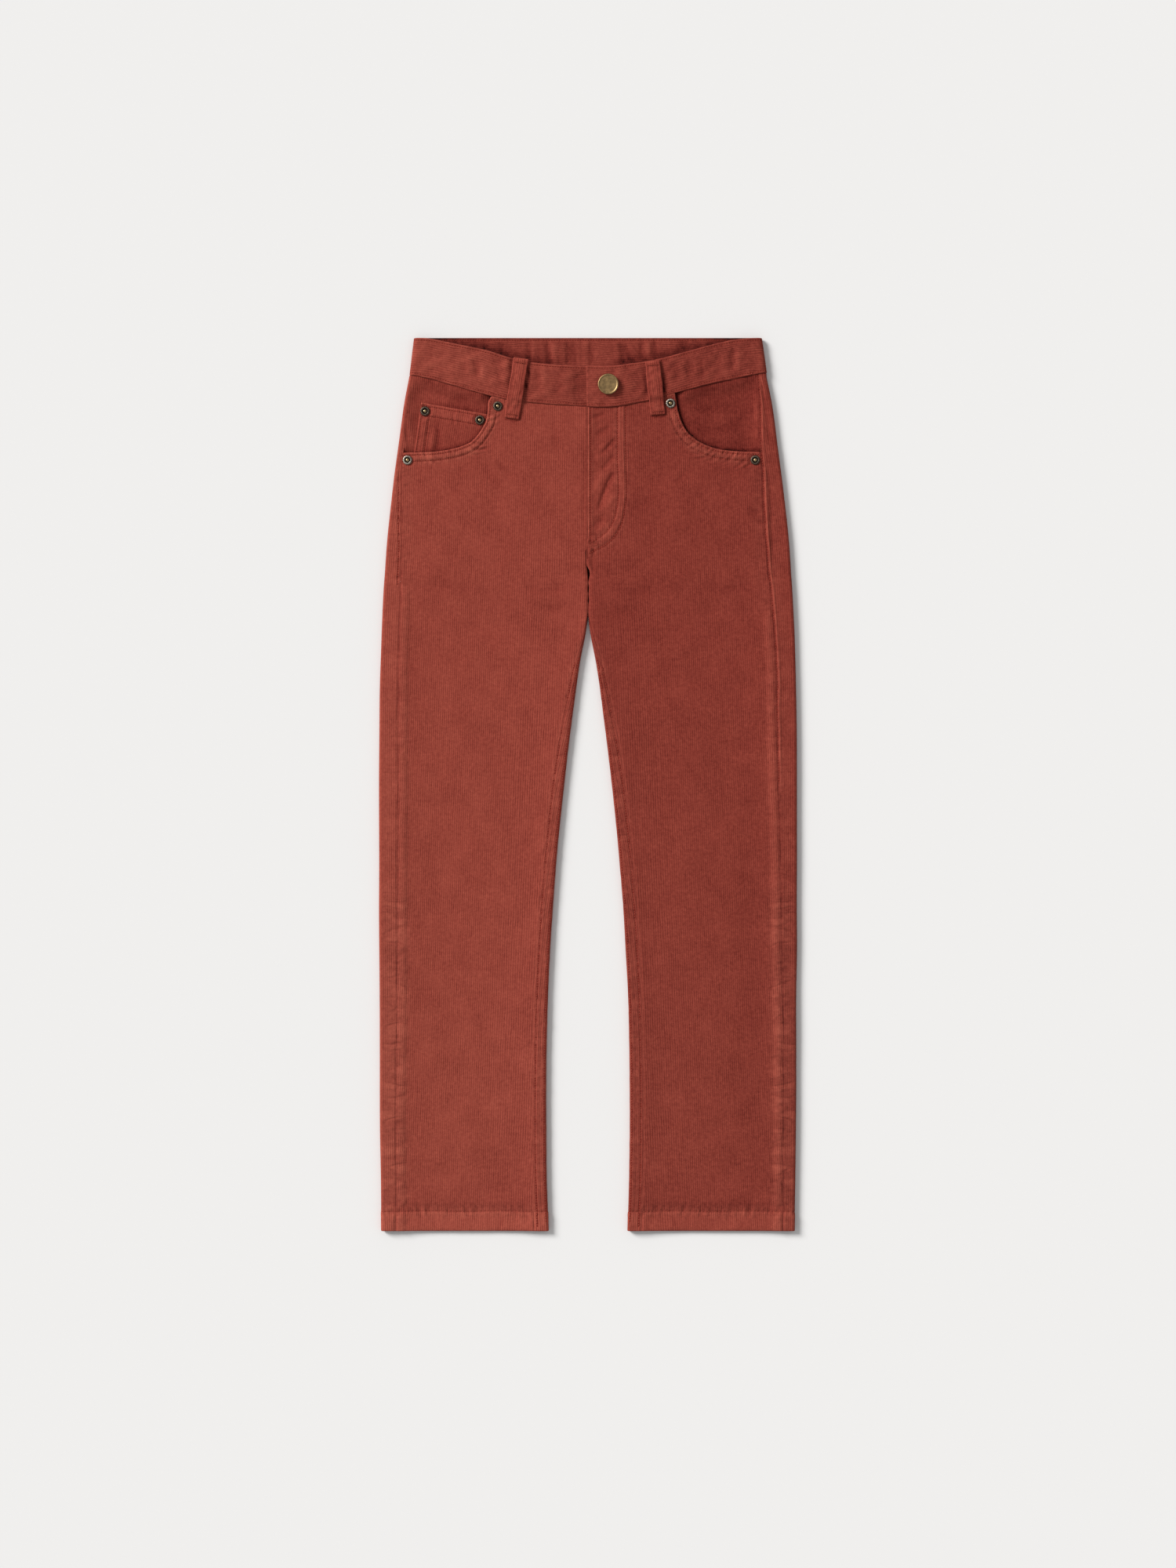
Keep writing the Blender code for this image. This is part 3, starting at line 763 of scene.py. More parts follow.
# Pocket scoops, from the waistband to the side seam
scoopPoints = {
    "right": [(83.9, 53.8), (84.5, 61.7), (85.6, 69.0), (91.1, 79.5), (97.0, 86.7), (107.6, 91.9),
              (119.5, 94.7), (131.3, 96.2), (143.5, 96.6), (156.4, 97.0)],
    "left": [(74.6, 55.1), (75.6, 60.5), (77.7, 67.7), (81.2, 75.6), (86.4, 82.5), (97.0, 89.4),
             (107.6, 93.3), (121.4, 95.4), (133.3, 96.1), (145.8, 96.4)],
}
scoopStart = {"right": 81.4, "left": 73.4}
scoopPath = {}
for side in sideSign:
    firstPoint = (scoopStart[side], float(bandLow[side](scoopStart[side])) + seamGap)
    scoopPath[side] = smoothPath([firstPoint, *scoopPoints[side]], 2.0)


def frontTopEdge(side):
    # how far down a front starts: the waistband's edge, then the scoop
    outs = np.linspace(-12, scoopStart[side] - 0.5, 60)
    outs = np.concatenate([outs, scoopPath[side][:, 0]])
    downs = np.concatenate([bandLow[side](outs[:60]) + seamGap, scoopPath[side][:, 1]])
    outs = np.maximum.accumulate(outs) + 1e-4 * np.arange(len(outs))
    return lambda out: np.interp(out, outs, downs)


def softTopEdge(side):
    # the same without its steep part, which the rows further in follow
    edge = frontTopEdge(side)
    outs = np.linspace(-14, 176, 400)
    downs = np.mean([edge(outs + shift) for shift in np.linspace(-4, 4, 17)], axis=0)
    return lambda out: np.interp(out, outs, downs)


# the fly edge, then the crotch, where the legs touch and leave a wavy slit: down, out
crotchEdge = {
    "right": smoothCurve(*zip((165, -9.0), (171, -8.6), (178, 0.6), (187, 1.52), (192, 1.25), (195, 0.8),
                              (199, 0.45), (204, -0.15), (206, -0.36), (209, -0.2), (212, 0.2),
                              (216, -0.42), (221, 0.1), (226, -0.28), (231, 0.0), (236, 0.3), (246, 1.2))),
    "left": smoothCurve(*zip((150, -0.3), (168, -0.4), (176, -1.3), (187, -1.48), (192, -1.15), (195, 0.7),
                             (199, 1.5), (204, 0.7), (206, 0.42), (209, 0.7), (212, 0.8), (216, 0.46),
                             (221, 0.8), (226, 0.32), (231, 0.3), (236, 0.3), (246, 1.2))),
}


def frontInner(side, down):
    return mix(crotchEdge[side](down), legGap(down) + innerInset(down) + seamGap, ease((down - 222) / 20))


def frontOuter(side, down):
    return sideSeamOut(side, down) - seamGap


# name, side, out, down, and the ring's finish
rivetTable = [
    ("rivet_right_waist", "right", 75.9, 57.8, "darkBronze"),
    ("rivet_right_side", "right", 152.0, 103.2, "paleNickel"),
    ("rivet_left_waist", "left", 69.5, 55.4, "paleNickel"),
    ("rivet_left_side", "left", 140.8, 103.2, "darkBronze"),
    ("rivet_coin_outer", "right", 137.3, 61.9, "darkBronze"),
    ("rivet_coin_inner", "right", 91.1, 69.4, "darkBronze"),
]
frontRivets = {side: [row[2:4] for row in rivetTable[:4] if row[1] == side] for side in sideSign}
coinRivets = [row[2:4] for row in rivetTable[4:]]

flyRows = {
    "edge": [(2.1, 57.5), (2.2, 90), (1.9, 130), (2.0, 171)],
    "inner": [(24.9, 57), (24.9, 100), (24.8, 140.9), (21.8, 153.5), (15.8, 163.4), (10.6, 167.6),
              (4.6, 171.2), (1.3, 172.8)],
    "outer": [(31.4, 57), (31.4, 100), (31.2, 142.2), (28.1, 157.1), (21.1, 169.3), (12.9, 175.8),
              (5.3, 179.4), (1.4, 181.8)],
}
flyPaths = {name: smoothPath(points) for name, points in flyRows.items()}
hemRow = 735.6
hemPaths = {}
for side in sideSign:
    hemFrom, hemTo = float(frontInner(side, hemRow)) + 0.4, float(frontOuter(side, hemRow)) - 0.4
    hemPaths[side] = smoothPath([(mix(hemFrom, hemTo, share), hemRow + rise) for share, rise in
                                 ((0, 0.5), (0.25, -0.4), (0.5, 0.5), (0.75, -0.3), (1, 0.4))])


def sideSeamPath(side, offset, start, end):
    downs = np.arange(start, end, 6.0)
    return np.stack([sideSeamOut(side, downs) + offset, downs], axis=1)


def innerFoldPath(offset, start, end):
    downs = np.arange(start, end, 6.0)
    offsets = np.interp(downs, (262, 283, 330, 376), (offset * 0.38, offset * 0.55, offset * 0.8, offset))
    return np.stack([legGap(downs) + np.maximum(offsets, min(offset, 2.0)), downs], axis=1)


frontSeams = {side: [sidePath(scoopPath[side], 2.2)[1:], sidePath(scoopPath[side], 7.3)[1:], hemPaths[side]]
              for side in sideSign}
frontSeams["left"] += [flyPaths[name] for name in ("edge", "inner", "outer")]
seamSeed = {"right": 10, "left": 20}
allowanceBand = {"right": (216, 9.6), "left": (236, 9.2)}       # where it starts, and its width


def seamMarks(side):
    # what the pocket scoop, the hem and the side seam leave in a front
    seed = seamSeed[side]
    scoop = scoopPath[side]
    hem = hemPaths[side]
    allowanceStart, allowanceWidth = allowanceBand[side]
    return [
        pucker(sidePath(scoop, 7.3), 0.44, 6.2, 4.2, 0.9, seed + 1),
        pucker(sidePath(scoop, 10.5), 0.26, 8.0, 4.5, 1.6, seed + 61),
        pucker(sidePath(scoop, 2.6), 0.50, 4.4, 2.8, 0.4, seed + 2),
        band(scoop, 0.55, 7.6, 1, 0.16),
        pucker(hem, 0.40, 8.0, 6.0, 0.3, seed + 3),
        pucker(hem, 0.22, 3.6, 3.0, 0.2, seed + 63),
        band(hem, 0.40, 17.5, 1, 0.12),
        band(hem, -0.30, 6.0, -1, 0.4),
        pucker(sideSeamPath(side, -3.5, 100, 500), 0.20, 9.5, 5.0, 0.4, seed + 24),
        pucker(sideSeamPath(side, -3.5, 506, 750), 0.46, 9.5, 5.0, 0.4, seed + 4),
        pucker(sideSeamPath(side, -1.0, 100, 750), 0.20, 4.2, 2.4, 0.3, seed + 44),
        band(sideSeamPath(side, 0.0, allowanceStart, 752), 0.50, allowanceWidth, 1, 0.42),
        pucker(sideSeamPath(side, -9.5, 500, 752), 0.36, 8.5, 3.0, 0.8, seed + 5),
        pucker(innerFoldPath(11.5, 280, 752), 0.22, 8.0, 5.0, 0.6, {"right": 16, "left": 29}[side]),
    ]


frontMarks = {
    "right": seamMarks("right") + creases(
        ([(3, 70), (2.5, 110), (3.5, 150), (2, 178)], -0.35, 2.2),
        ([(78, 103), (70, 112), (58, 118)], -0.40, 3.0),
        ([(88, 108), (80, 120), (70, 127)], -0.30, 3.0),
        ([(60, 210), (35, 213), (12, 208)], -0.40, 4.0),
        ([(52, 222), (28, 228), (9, 224)], -0.34, 4.5),
        ([(92, 216), (122, 208), (150, 210)], -0.30, 4.5),
        ([(140, 262), (118, 268), (96, 265)], -0.24, 5.0),
        ([(30, 62), (28, 84), (30, 104)], -0.28, 4.0),
        ([(100, 108), (112, 114), (130, 112)], -0.24, 3.0),
    ),
    "left": seamMarks("left") + [
        band(flyPaths["inner"], 0.45, 6.8, -1, 0.2),
        band(flyPaths["edge"], 0.30, 3.4, 1, 0.3),
        pucker(flyPaths["edge"], 0.20, 4.4, 2.6, 0.4, 26),
        pucker(flyPaths["inner"], 0.26, 5.6, 3.6, 0.5, 27),
        pucker(flyPaths["outer"], 0.24, 6.4, 4.0, 0.5, 28),
    ] + creases(
        ([(2.4, 68), (9, 66), (15.8, 63)], -0.60, 2.2),
        ([(3.5, 76), (10, 73), (18, 67)], -0.30, 2.2),
        ([(4.6, 82.8), (13, 79), (20.5, 72.9)], -0.65, 2.4),
        ([(8.6, 99.4), (16, 93), (24.0, 84.7)], -0.95, 1.9, 0.15),
        ([(11.0, 112.0), (17, 105), (23.2, 98.0)], -0.70, 2.1, 0.18),
        ([(9.2, 145.7), (12.4, 134), (17, 123), (22.4, 112.0)], -1.10, 2.1, 0.15),
        ([(6.5, 106), (11, 98), (17, 88)], 0.60, 3.0),
        ([(5, 133), (9, 122), (15, 112)], 0.65, 3.4),
        ([(15, 146), (19, 138), (23.5, 131)], 0.50, 3.0),
        ([(3, 160), (9, 155), (15, 148)], -0.55, 2.6),
        ([(6, 166), (12, 161), (18, 156)], 0.35, 2.2),
        ([(-0.4, 171.0), (3.0, 173.8), (8.4, 172.4)], -0.8, 0.9, 0.2),
        ([(0.6, 168.4), (3.6, 170.6), (7.4, 169.4)], 0.55, 1.2, 0.2),
        ([(36, 150), (44, 140), (58, 134)], -0.28, 4.0),
        ([(-0.6, 175), (-0.2, 181), (0.4, 187)], -0.6, 0.9, 0.2),
        ([(1.2, 178), (3.2, 180.5), (1.6, 184)], 0.5, 0.8, 0.2),
        ([(4.5, 177), (5.5, 181), (3.5, 184)], -0.5, 0.9, 0.2),
        ([(-0.6, 187), (0.6, 191), (2.6, 197)], 0.5, 1.1, 0.2),
        ([(2.8, 186), (4.0, 192), (4.4, 199)], -0.35, 1.4, 0.2),
        ([(133.6, 144), (140, 147), (146, 147.5)], -0.45, 2.3),
        ([(60, 212), (36, 214), (12, 207)], -0.32, 4.5),
        ([(48, 228), (26, 232), (8, 226)], -0.28, 4.5),
        ([(90, 214), (122, 212), (146, 206)], -0.26, 4.5),
        ([(86, 106), (80, 116), (72, 124)], -0.34, 3.0),
        ([(104, 108), (118, 113), (134, 110)], -0.26, 3.0),
    ),
}
for side in sideSign:
    frontMarks[side] += [seam(path) for path in frontSeams[side][:3]]
    frontMarks[side] += [seam(path, 0.20) for path in frontSeams[side][3:]]


def legGathers(side):
    # the seams that gather the cloth: path, reach and strength
    return [
        (sideSeamPath(side, 1.0, 98, 470), 11.0, 0.4),
        (sideSeamPath(side, 1.0, 464, 751), 11.0, 0.95),
        (innerFoldPath(5.0, 262, 751), 5.5, 0.55),
        (hemPaths[side], 5.0, 0.5),
    ]


def frontGathers(side):
    gathers = legGathers(side) + [(sidePath(scoopPath[side], 5.0)[1:], 5.5, 0.9)]
    if side == "left":
        gathers += [(flyPaths["inner"], 4.0, 0.6), (flyPaths["outer"], 3.5, 0.5),
                    (flyPaths["edge"], 3.0, 0.6)]
    return gathers


# round the lower ends of the belt loops: painted shadow on the cloth there
loopFoot = {
    "right": smoothPath([(56.3, 57.0), (58.1, 69.0), (59.2, 69.9), (69.4, 68.4)], 1.0),
    "left": smoothPath([(64.2, 53.0), (65.1, 63.8), (64.0, 65.4), (53.4, 66.4)], 1.0),
}


def loopShadow(side, out, down):
    return -0.36 * fadeFrom(nearPath(out, down, loopFoot[side], 4.0)[0], 0.85)


# Where the nap lies lighter (above 0) or darker: out, down, half width, half length, amount
napPatches = {
    "right": [(120, 330, 30, 160, 0.03), (95, 640, 60, 140, 0.035), (70, 702, 24, 36, -0.10),
              (18, 260, 14, 60, -0.03), (60, 130, 40, 40, -0.02), (150, 130, 14, 80, 0.04)],
    "left": [(136, 560, 14, 190, -0.07), (60, 600, 34, 190, 0.045), (50, 420, 26, 90, 0.03),
             (100, 120, 50, 60, -0.02), (20, 330, 12, 80, 0.03), (13, 112, 15, 62, 0.135)],
}
panelTint = {"right": 0.03, "left": -0.17}


def napTint(side, out, down):
    tint = np.full(np.shape(out), panelTint[side])
    for atOut, atDown, width, length, amount in napPatches[side]:
        tint = tint + amount * np.exp(-((out - atOut) / width) ** 2 - ((down - atDown) / length) ** 2)
    # the hem's strip below its row is lighter, and painted shade darkens the hollow above the row
    tint = tint + 0.08 * ease((down - hemRow) / 1.6) - 0.07 * fadeFrom(down - hemRow + 6.5, 3.2)
    return tint + 0.012 * billow(out, down * 0.5, 46, 90 + sideSign[side])


frontPiece = {
    "lean": 0.040,          # how far the wales lean outwards going down
    "leanFrom": 60.0,
    "leanFull": 200.0,      # from here down all of them lean alike
    "edgeSteps": (0.0, 0.05, 0.4, 1.0),
    "topSteps": (0.0, 0.06, 0.45, 1.0, 1.5, 2.1, 2.7, 3.6, 4.8, 6.0, 6.8, 7.4, 8.1, 9.4),
    "margin": 1.6,
    "topMargin": 10.8,
    "rollRadius": 0.8,
    "sag": 1.7,
    "steepRun": 38.0,
    "steepDown": 68.0,
    "evenFrom": 126.0,      # above this the rows follow the top edge
    "billow": 0.22,
    "flySunk": 0.90,        # how far the right front dips under the left one's fly edge
    "flyRise": 0.55,        # and how far that edge stands up
    # painted highlight along the left front's fly edge
    "flyEdgeHighlight": 0.20,
    "crotchDip": 0.7,
    "allowanceTint": 0.06,
    "rows": np.concatenate([np.arange(62, 216, 1.5), np.arange(216, 728, 3.0), np.arange(728, 734.5, 1.5),
                            (735.0, 735.6, 736.3), np.arange(737.4, 750.5, 1.5)]),
}


def waleShift(piece, down, out):
    upper = np.clip(down, piece["leanFrom"], piece["leanFull"]) - piece["leanFrom"]
    lower = np.maximum(down - piece["leanFull"], 0)
    return piece["lean"] * (upper * ease(out / 70) + lower)


def waleCount(piece, out, down):
    # which wale a place on a front lies on
    first = out
    for _ in range(5):
        start = out - waleShift(piece, down, first)
        first = start - 0.22 * billow(start + waleShift(piece, down, first), down * 0.7, 34, 19)
    return first / corduroy["pitch"]


def frontHeight(side, out, down):
    # the upper face without its wales, and how far they are pressed
    sign = sideSign[side]
    inner, outer = frontInner(side, down), frontOuter(side, down)
    across = np.clip((out - inner) / (outer - inner), 0, 1)
    dip = 1 - (2 * across - 1) ** 4
    height = legTop - frontPiece["sag"] * dip * ease((down - 180) / 70)
    if side == "right":
        sunk = ease((flyEndDown - down) / 9)
        height = height - frontPiece["flySunk"] * ease((1.9 - out) / 3.0) * sunk
    else:
        edgeRise = frontPiece["flyRise"] * fadeFrom(out - inner, 6.0)
        height = height + edgeRise * ease((flyEndDown - 8 - down) / 12)
    nearCrotch = ease((down - 187) / 8) * ease((244 - down) / 20)
    height = height - frontPiece["crotchDip"] * nearCrotch * fadeFrom(out - inner, 1.8)
    added, pressed = relief(out, down, frontMarks[side], frontRivets[side])
    calm = ease((out - inner) / 8) * ease((outer - out) / 8) * ease((down - 60) / 30)
    added = seamMeet(added, outer - out, down, 44 + sign)
    added = np.where(down > 240, seamMeet(added, out - inner, down, 64 + sign), added)
    height = height + added + frontPiece["billow"] * billow(out, down, 75, 7 + sign) * calm
    height = height + 0.10 * billow(out, down, 24, 17 + sign) * calm
    return height, pressed, added


def waleLine(piece, count, down):
    # where a wale lies at each height: the other way round from waleCount
    start = count * corduroy["pitch"]
    line = start + waleShift(piece, down, start)
    return line + 0.22 * billow(line, down * 0.7, 34, 19)


def scoopColumns(side):
    # extra mesh columns for the steep part of a scoop
    path = scoopPath[side]
    run = wayAlong(path)
    stops = np.arange(0.4, frontPiece["steepRun"], 0.8)
    return waleCount(frontPiece, np.interp(stops, run, path[:, 0]), np.interp(stops, run, path[:, 1]))


def makeFront(side):
    piece = frontPiece
    topEdge, softTop = frontTopEdge(side), softTopEdge(side)
    steps, margin, lead = edgeGrid(piece)
    topSteps = np.array(piece["topSteps"])
    evenCounts = waleColumns(-7, 101)
    counts = np.sort(np.concatenate([evenCounts, scoopColumns(side)]))
    nearest = evenCounts[np.abs(counts[:, None] - evenCounts).argmin(axis=1)]
    topLead = len(topSteps)
    nominal, down = startGrid(topLead, piece["rows"], lead, len(counts) + 2 * lead)
    out = np.zeros(down.shape)
    middle = np.zeros((len(nominal), len(counts)))
    # how closely each row follows the top edge
    follow = np.clip((piece["evenFrom"] - nominal) / (piece["evenFrom"] - piece["rows"][0]), 0, 1)[:, None]

    settle = ease(topSteps / piece["topMargin"])[:, None]

    def rowDown(out):
        top, soft = topEdge(out[:topLead]), softTop(out)
        down = nominal[:, None] + follow * (soft + piece["topMargin"] - piece["rows"][0])
        down = np.minimum(down, hemDown - margin)
        down[:topLead] = mix(top, soft[:topLead], settle) + topSteps[:, None]
        down[-lead:] = hemDown - steps[::-1, None]
        return down

    start = counts * corduroy["pitch"] - scoopStart[side]
    straight = ease((start + 5) / 5) * ease((16 - start) / 6)

    def columnLines(inside):
        # the columns run straight down by the steep part, and the extra ones join their neighbours below it
        join = ease((inside - 114) / 12)
        inside = mix(inside, piece["steepDown"], straight * ease((114 - inside) / 20))
        return mix(waleLine(piece, counts, inside), waleLine(piece, nearest, inside), join)

    for _ in range(8):
        inner, outer = frontInner(side, down), frontOuter(side, down)
        inside = down[:, lead:-lead]
        lines = columnLines(inside)
        # along a steep scoop a step sideways also leads far down, so the way there is worked out for both
        steep = (rowDown(middle + 0.1) - rowDown(middle - 0.1)) / 0.2
        drift = (columnLines(inside + 0.5) - lines) / 0.5
        middle = middle + (lines - middle) / np.clip(1 - steep * drift, 0.08, 1.0)
        setColumns(out, inner, outer, middle, steps, margin)
        down = rowDown(out)
    inner, outer = frontInner(side, down), frontOuter(side, down)
    slope = (topEdge(out + 0.5) - topEdge(out - 0.5))
    fromTop = (down - topEdge(out)) / np.sqrt(1 + slope ** 2)
    free = np.minimum(np.where(down < 240, out - inner, 9), hemDown - down)
    free = np.minimum(free, np.where(out > scoopStart[side], fromTop, 9))
    sewn = np.minimum(np.where(down < 240, 9, out - inner), outer - out)
    sewn = np.minimum(sewn, np.where(out > scoopStart[side], 9, fromTop))
    roll = np.maximum(edgeRoll(free, piece["rollRadius"]), seamRoll(sewn, down, 90 + sideSign[side]))
    height, pressed, raised = frontHeight(side, out, down)
    count = waleCount(piece, out, down)
    wales = waleDrop(count, pressed, sewn)
    # ridges worn lighter, with painted shade in the hollows
    tint = napTint(side, out, down) + wearAndShadeTint(raised) + seamTint(side, np.where(out < 80, 9, sewn), down)
    # painted highlight on the ridge beside the inseam
    tint = tint + np.where(down > 240, inseamHighlight(out - inner), 0)
    # painted shadow round the belt loops' lower ends
    tint = tint + loopShadow(side, out, down)
    if side == "left":
        allowance = ease((out - outer + 10.6) / 2) * ease((down - 210) / 60)
        tint = tint + piece["allowanceTint"] * allowance
        # painted highlight along the left front's fly edge
        tint = tint + piece["flyEdgeHighlight"] * fadeFrom(out - inner - 0.4, 0.9) * ease((170 - down) / 8)
    weave = np.concatenate([np.stack([count, down, tint], axis=-1),
                            gatherField(out, down, frontGathers(side))], axis=-1)
    made = flatShell("cloth_front_" + side, sideSign[side] * out, down, height - wales - roll,
                     height - layer, weave, 12)
    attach(made, "root")
    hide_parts("front_" + side)
    return made


backPiece = {
    "stripTint": {"right": 0.11, "left": 0.02},
    "ridgeHighlight": 0.16,      # painted highlight on the ridge beside the left side seam
    # painted shade in the slit under the crotch
    "crotchShade": -0.75,
    "edgeSteps": (0.0, 0.05, 0.4, 1.0),
    "margin": 1.6,
    "rollRadius": 0.5,
    "rows": np.concatenate([np.arange(34, 184, 3.4), np.arange(184, 212, 1.6), np.arange(212, 730, 4.2),
                            (730.0, 732.6, 734.8, 735.7, 736.7), np.arange(738.6, 750, 2.4)]),
}
outseamRow = {"right": (118.0, 212.0, 2.3), "left": (33.5, 380.0, 0.7)}    # start, end, from the groove
backStripSeams = {}
backStripMarks = {}
for side, sign in sideSign.items():
    startDown, endDown, offset = outseamRow[side]
    rows = [sideSeamPath(side, offset, startDown, endDown), innerFoldPath(2.0, 270, 750),
            innerFoldPath(9.5, 274, 750)]
    hemStart = sideSeamOut(side, hemRow)
    rows.append(np.array([(hemStart + 0.5, hemRow), (legOuter(hemRow) - 1.2, hemRow + 0.3)]))
    rows.append(np.array([(legGap(hemRow) + 1.2, hemRow + 0.3), (legGap(hemRow) + 11.5, hemRow)]))
    backStripSeams[side] = rows
    backStripMarks[side] = [seam(path) for path in rows] + [
        pucker(rows[0], 0.36, 7.0, 4.0, 0.5, 31 + sign),
        pucker(rows[1], 0.24, 5.5, 3.5, 0.3, 35 + sign),
        pucker(rows[2], 0.30, 7.0, 4.5, 0.5, 38 + sign),
        pucker(sideSeamPath(side, 3.0, 212, 500), 0.18, 9.5, 5.5, 0.4, 63 + sign),
        pucker(sideSeamPath(side, 3.0, 506, 750), 0.40, 9.5, 5.5, 0.4, 43 + sign),
        band(rows[3], 0.40, 17.5, 1, 0.12),
        band(rows[4], 0.40, 17.5, 1, 0.12),
        pucker(rows[3], 0.25, 4.5, 4.0, 0.4, 46),
        pucker(rows[4], 0.25, 4.5, 4.0, 0.4, 47),
        crease([(hemStart + 2, 717), (hemStart + 10, 718)], -0.45, 1.6),
    ]
backStripMarks["left"] += creases(
    (sideSeamPath("left", 2.4, 100, 380), 0.40, 0.8, 0.1),
    ([(144.3, 34), (145.6, 46), (147.0, 68), (147.6, 92)], 0.45, 0.8, 0.1),
    ([(145.6, 33), (148.2, 41), (150.6, 49)], 0.45, 0.8, 0.1),
    ([(145.0, 34), (147.0, 46), (148.8, 56)], -0.45, 0.8, 0.1),
    ([(148.6, 56), (151.0, 70), (152.6, 92)], -0.35, 1.1, 0.15),
    ([(148.0, 96), (152.5, 120), (154.5, 160), (155.5, 200)], -0.45, 1.5),
    ([(146.5, 96), (149.6, 120), (151.2, 160), (152.0, 200)], 0.35, 1.6),
    ([(148.5, 53), (153.5, 53.5)], -0.5, 1.2),
    ([(149, 75), (154, 84), (160, 93)], -0.35, 2.0),
    ([(151, 158), (158, 160), (167, 161)], -0.40, 2.2),
    ([(152, 172), (160, 175), (168, 174)], -0.25, 2.5),
)
underMarks = {
    side: [
        crease([(30, 196 + 6 * sign), (62, 214), (100, 224)], -0.20, 7.0),
        crease([(120, 300), (80, 312), (46, 305 + 8 * sign)], -0.16, 8.0),
        crease([(60, 470), (96, 462 - 9 * sign), (140, 474)], -0.16, 8.0),
        seam(smoothPath([(4.5, 40), (4.5, 100), (4.5, 186)]), 0.25),
        seam(smoothPath([(45, hemRow), (95, hemRow + 0.4), (165, hemRow)]), 0.2),
    ]
    for side, sign in sideSign.items()
}


def innerFold(down):
    # how far a back turns round the inner fold, and where the fold's middle lies
    turn = math.pi * turnUp(down)
    return turn, legGap(down) + foldRadius * np.sin(np.minimum(turn, math.pi / 2))


def backPoint(run, down):
    # A place on a back's outer skin. run is measured round it from the middle of the side fold,
    # towards the front above 0. Gives out, height and the direction that the skin faces.
    turn, innerMiddle = innerFold(down)
    outerMiddle = legOuter(down) - foldRadius
    floorRun = outerMiddle - innerMiddle
    onFold = run / foldRadius
    past = -run - quarterFold - floorRun          # how far past the floor, round the inner fold
    around = np.clip(past / foldRadius, 0, turn)
    out = outerMiddle + foldRadius * np.cos(onFold)
    height = foldRadius + foldRadius * np.sin(onFold)
    faceOut, faceHigh = np.cos(onFold), np.sin(onFold)
    top = run > quarterFold
    out = np.where(top, outerMiddle - (run - quarterFold), out)
    low = run < -quarterFold
    out = np.where(low, outerMiddle + run + quarterFold, out)
    height = np.where(top, 2 * foldRadius, np.where(low, 0, height))
    faceOut = np.where(top | low, 0, faceOut)
    faceHigh = np.where(top, 1, np.where(low, -1, faceHigh))
    turned = past > 0
    beyond = np.maximum(past - foldRadius * turn, 0)
    out = np.where(turned, innerMiddle - foldRadius * np.sin(around) - beyond * np.cos(around), out)
    height = np.where(turned, foldRadius - foldRadius * np.cos(around) + beyond * np.sin(around), height)
    faceOut = np.where(turned, -np.sin(around), faceOut)
    faceHigh = np.where(turned, -np.cos(around), faceHigh)
    return out, height, faceOut, faceHigh


def backRunEnds(side, down):
    # where a back ends: round the inner fold, and at the side seam
    turn, innerMiddle = innerFold(down)
    floorRun = legOuter(down) - foldRadius - innerMiddle
    strip = np.where(turn >= math.pi, np.maximum(innerInset(down) - foldRadius, 0), 0)
    low = -quarterFold - floorRun - foldRadius * turn - strip
    high = quarterFold + np.maximum(sideInset(side, down) - foldRadius, 0.3)
    return low, high


def backTopEdge(side, run, out):
    behind = mix(bandBackDown, float(bandLow[side](147.0)), ease(out / 150))
    before = bandLow[side](np.minimum(out, 147.0))
    return mix(behind, before, ease((run / quarterFold + 1) / 2)) + seamGap


def stripHeight(side, out, down):
    # the upper face of the strips that show beside the fronts
    added, pressed = relief(out, down, backStripMarks[side])
    return legTop + added, pressed


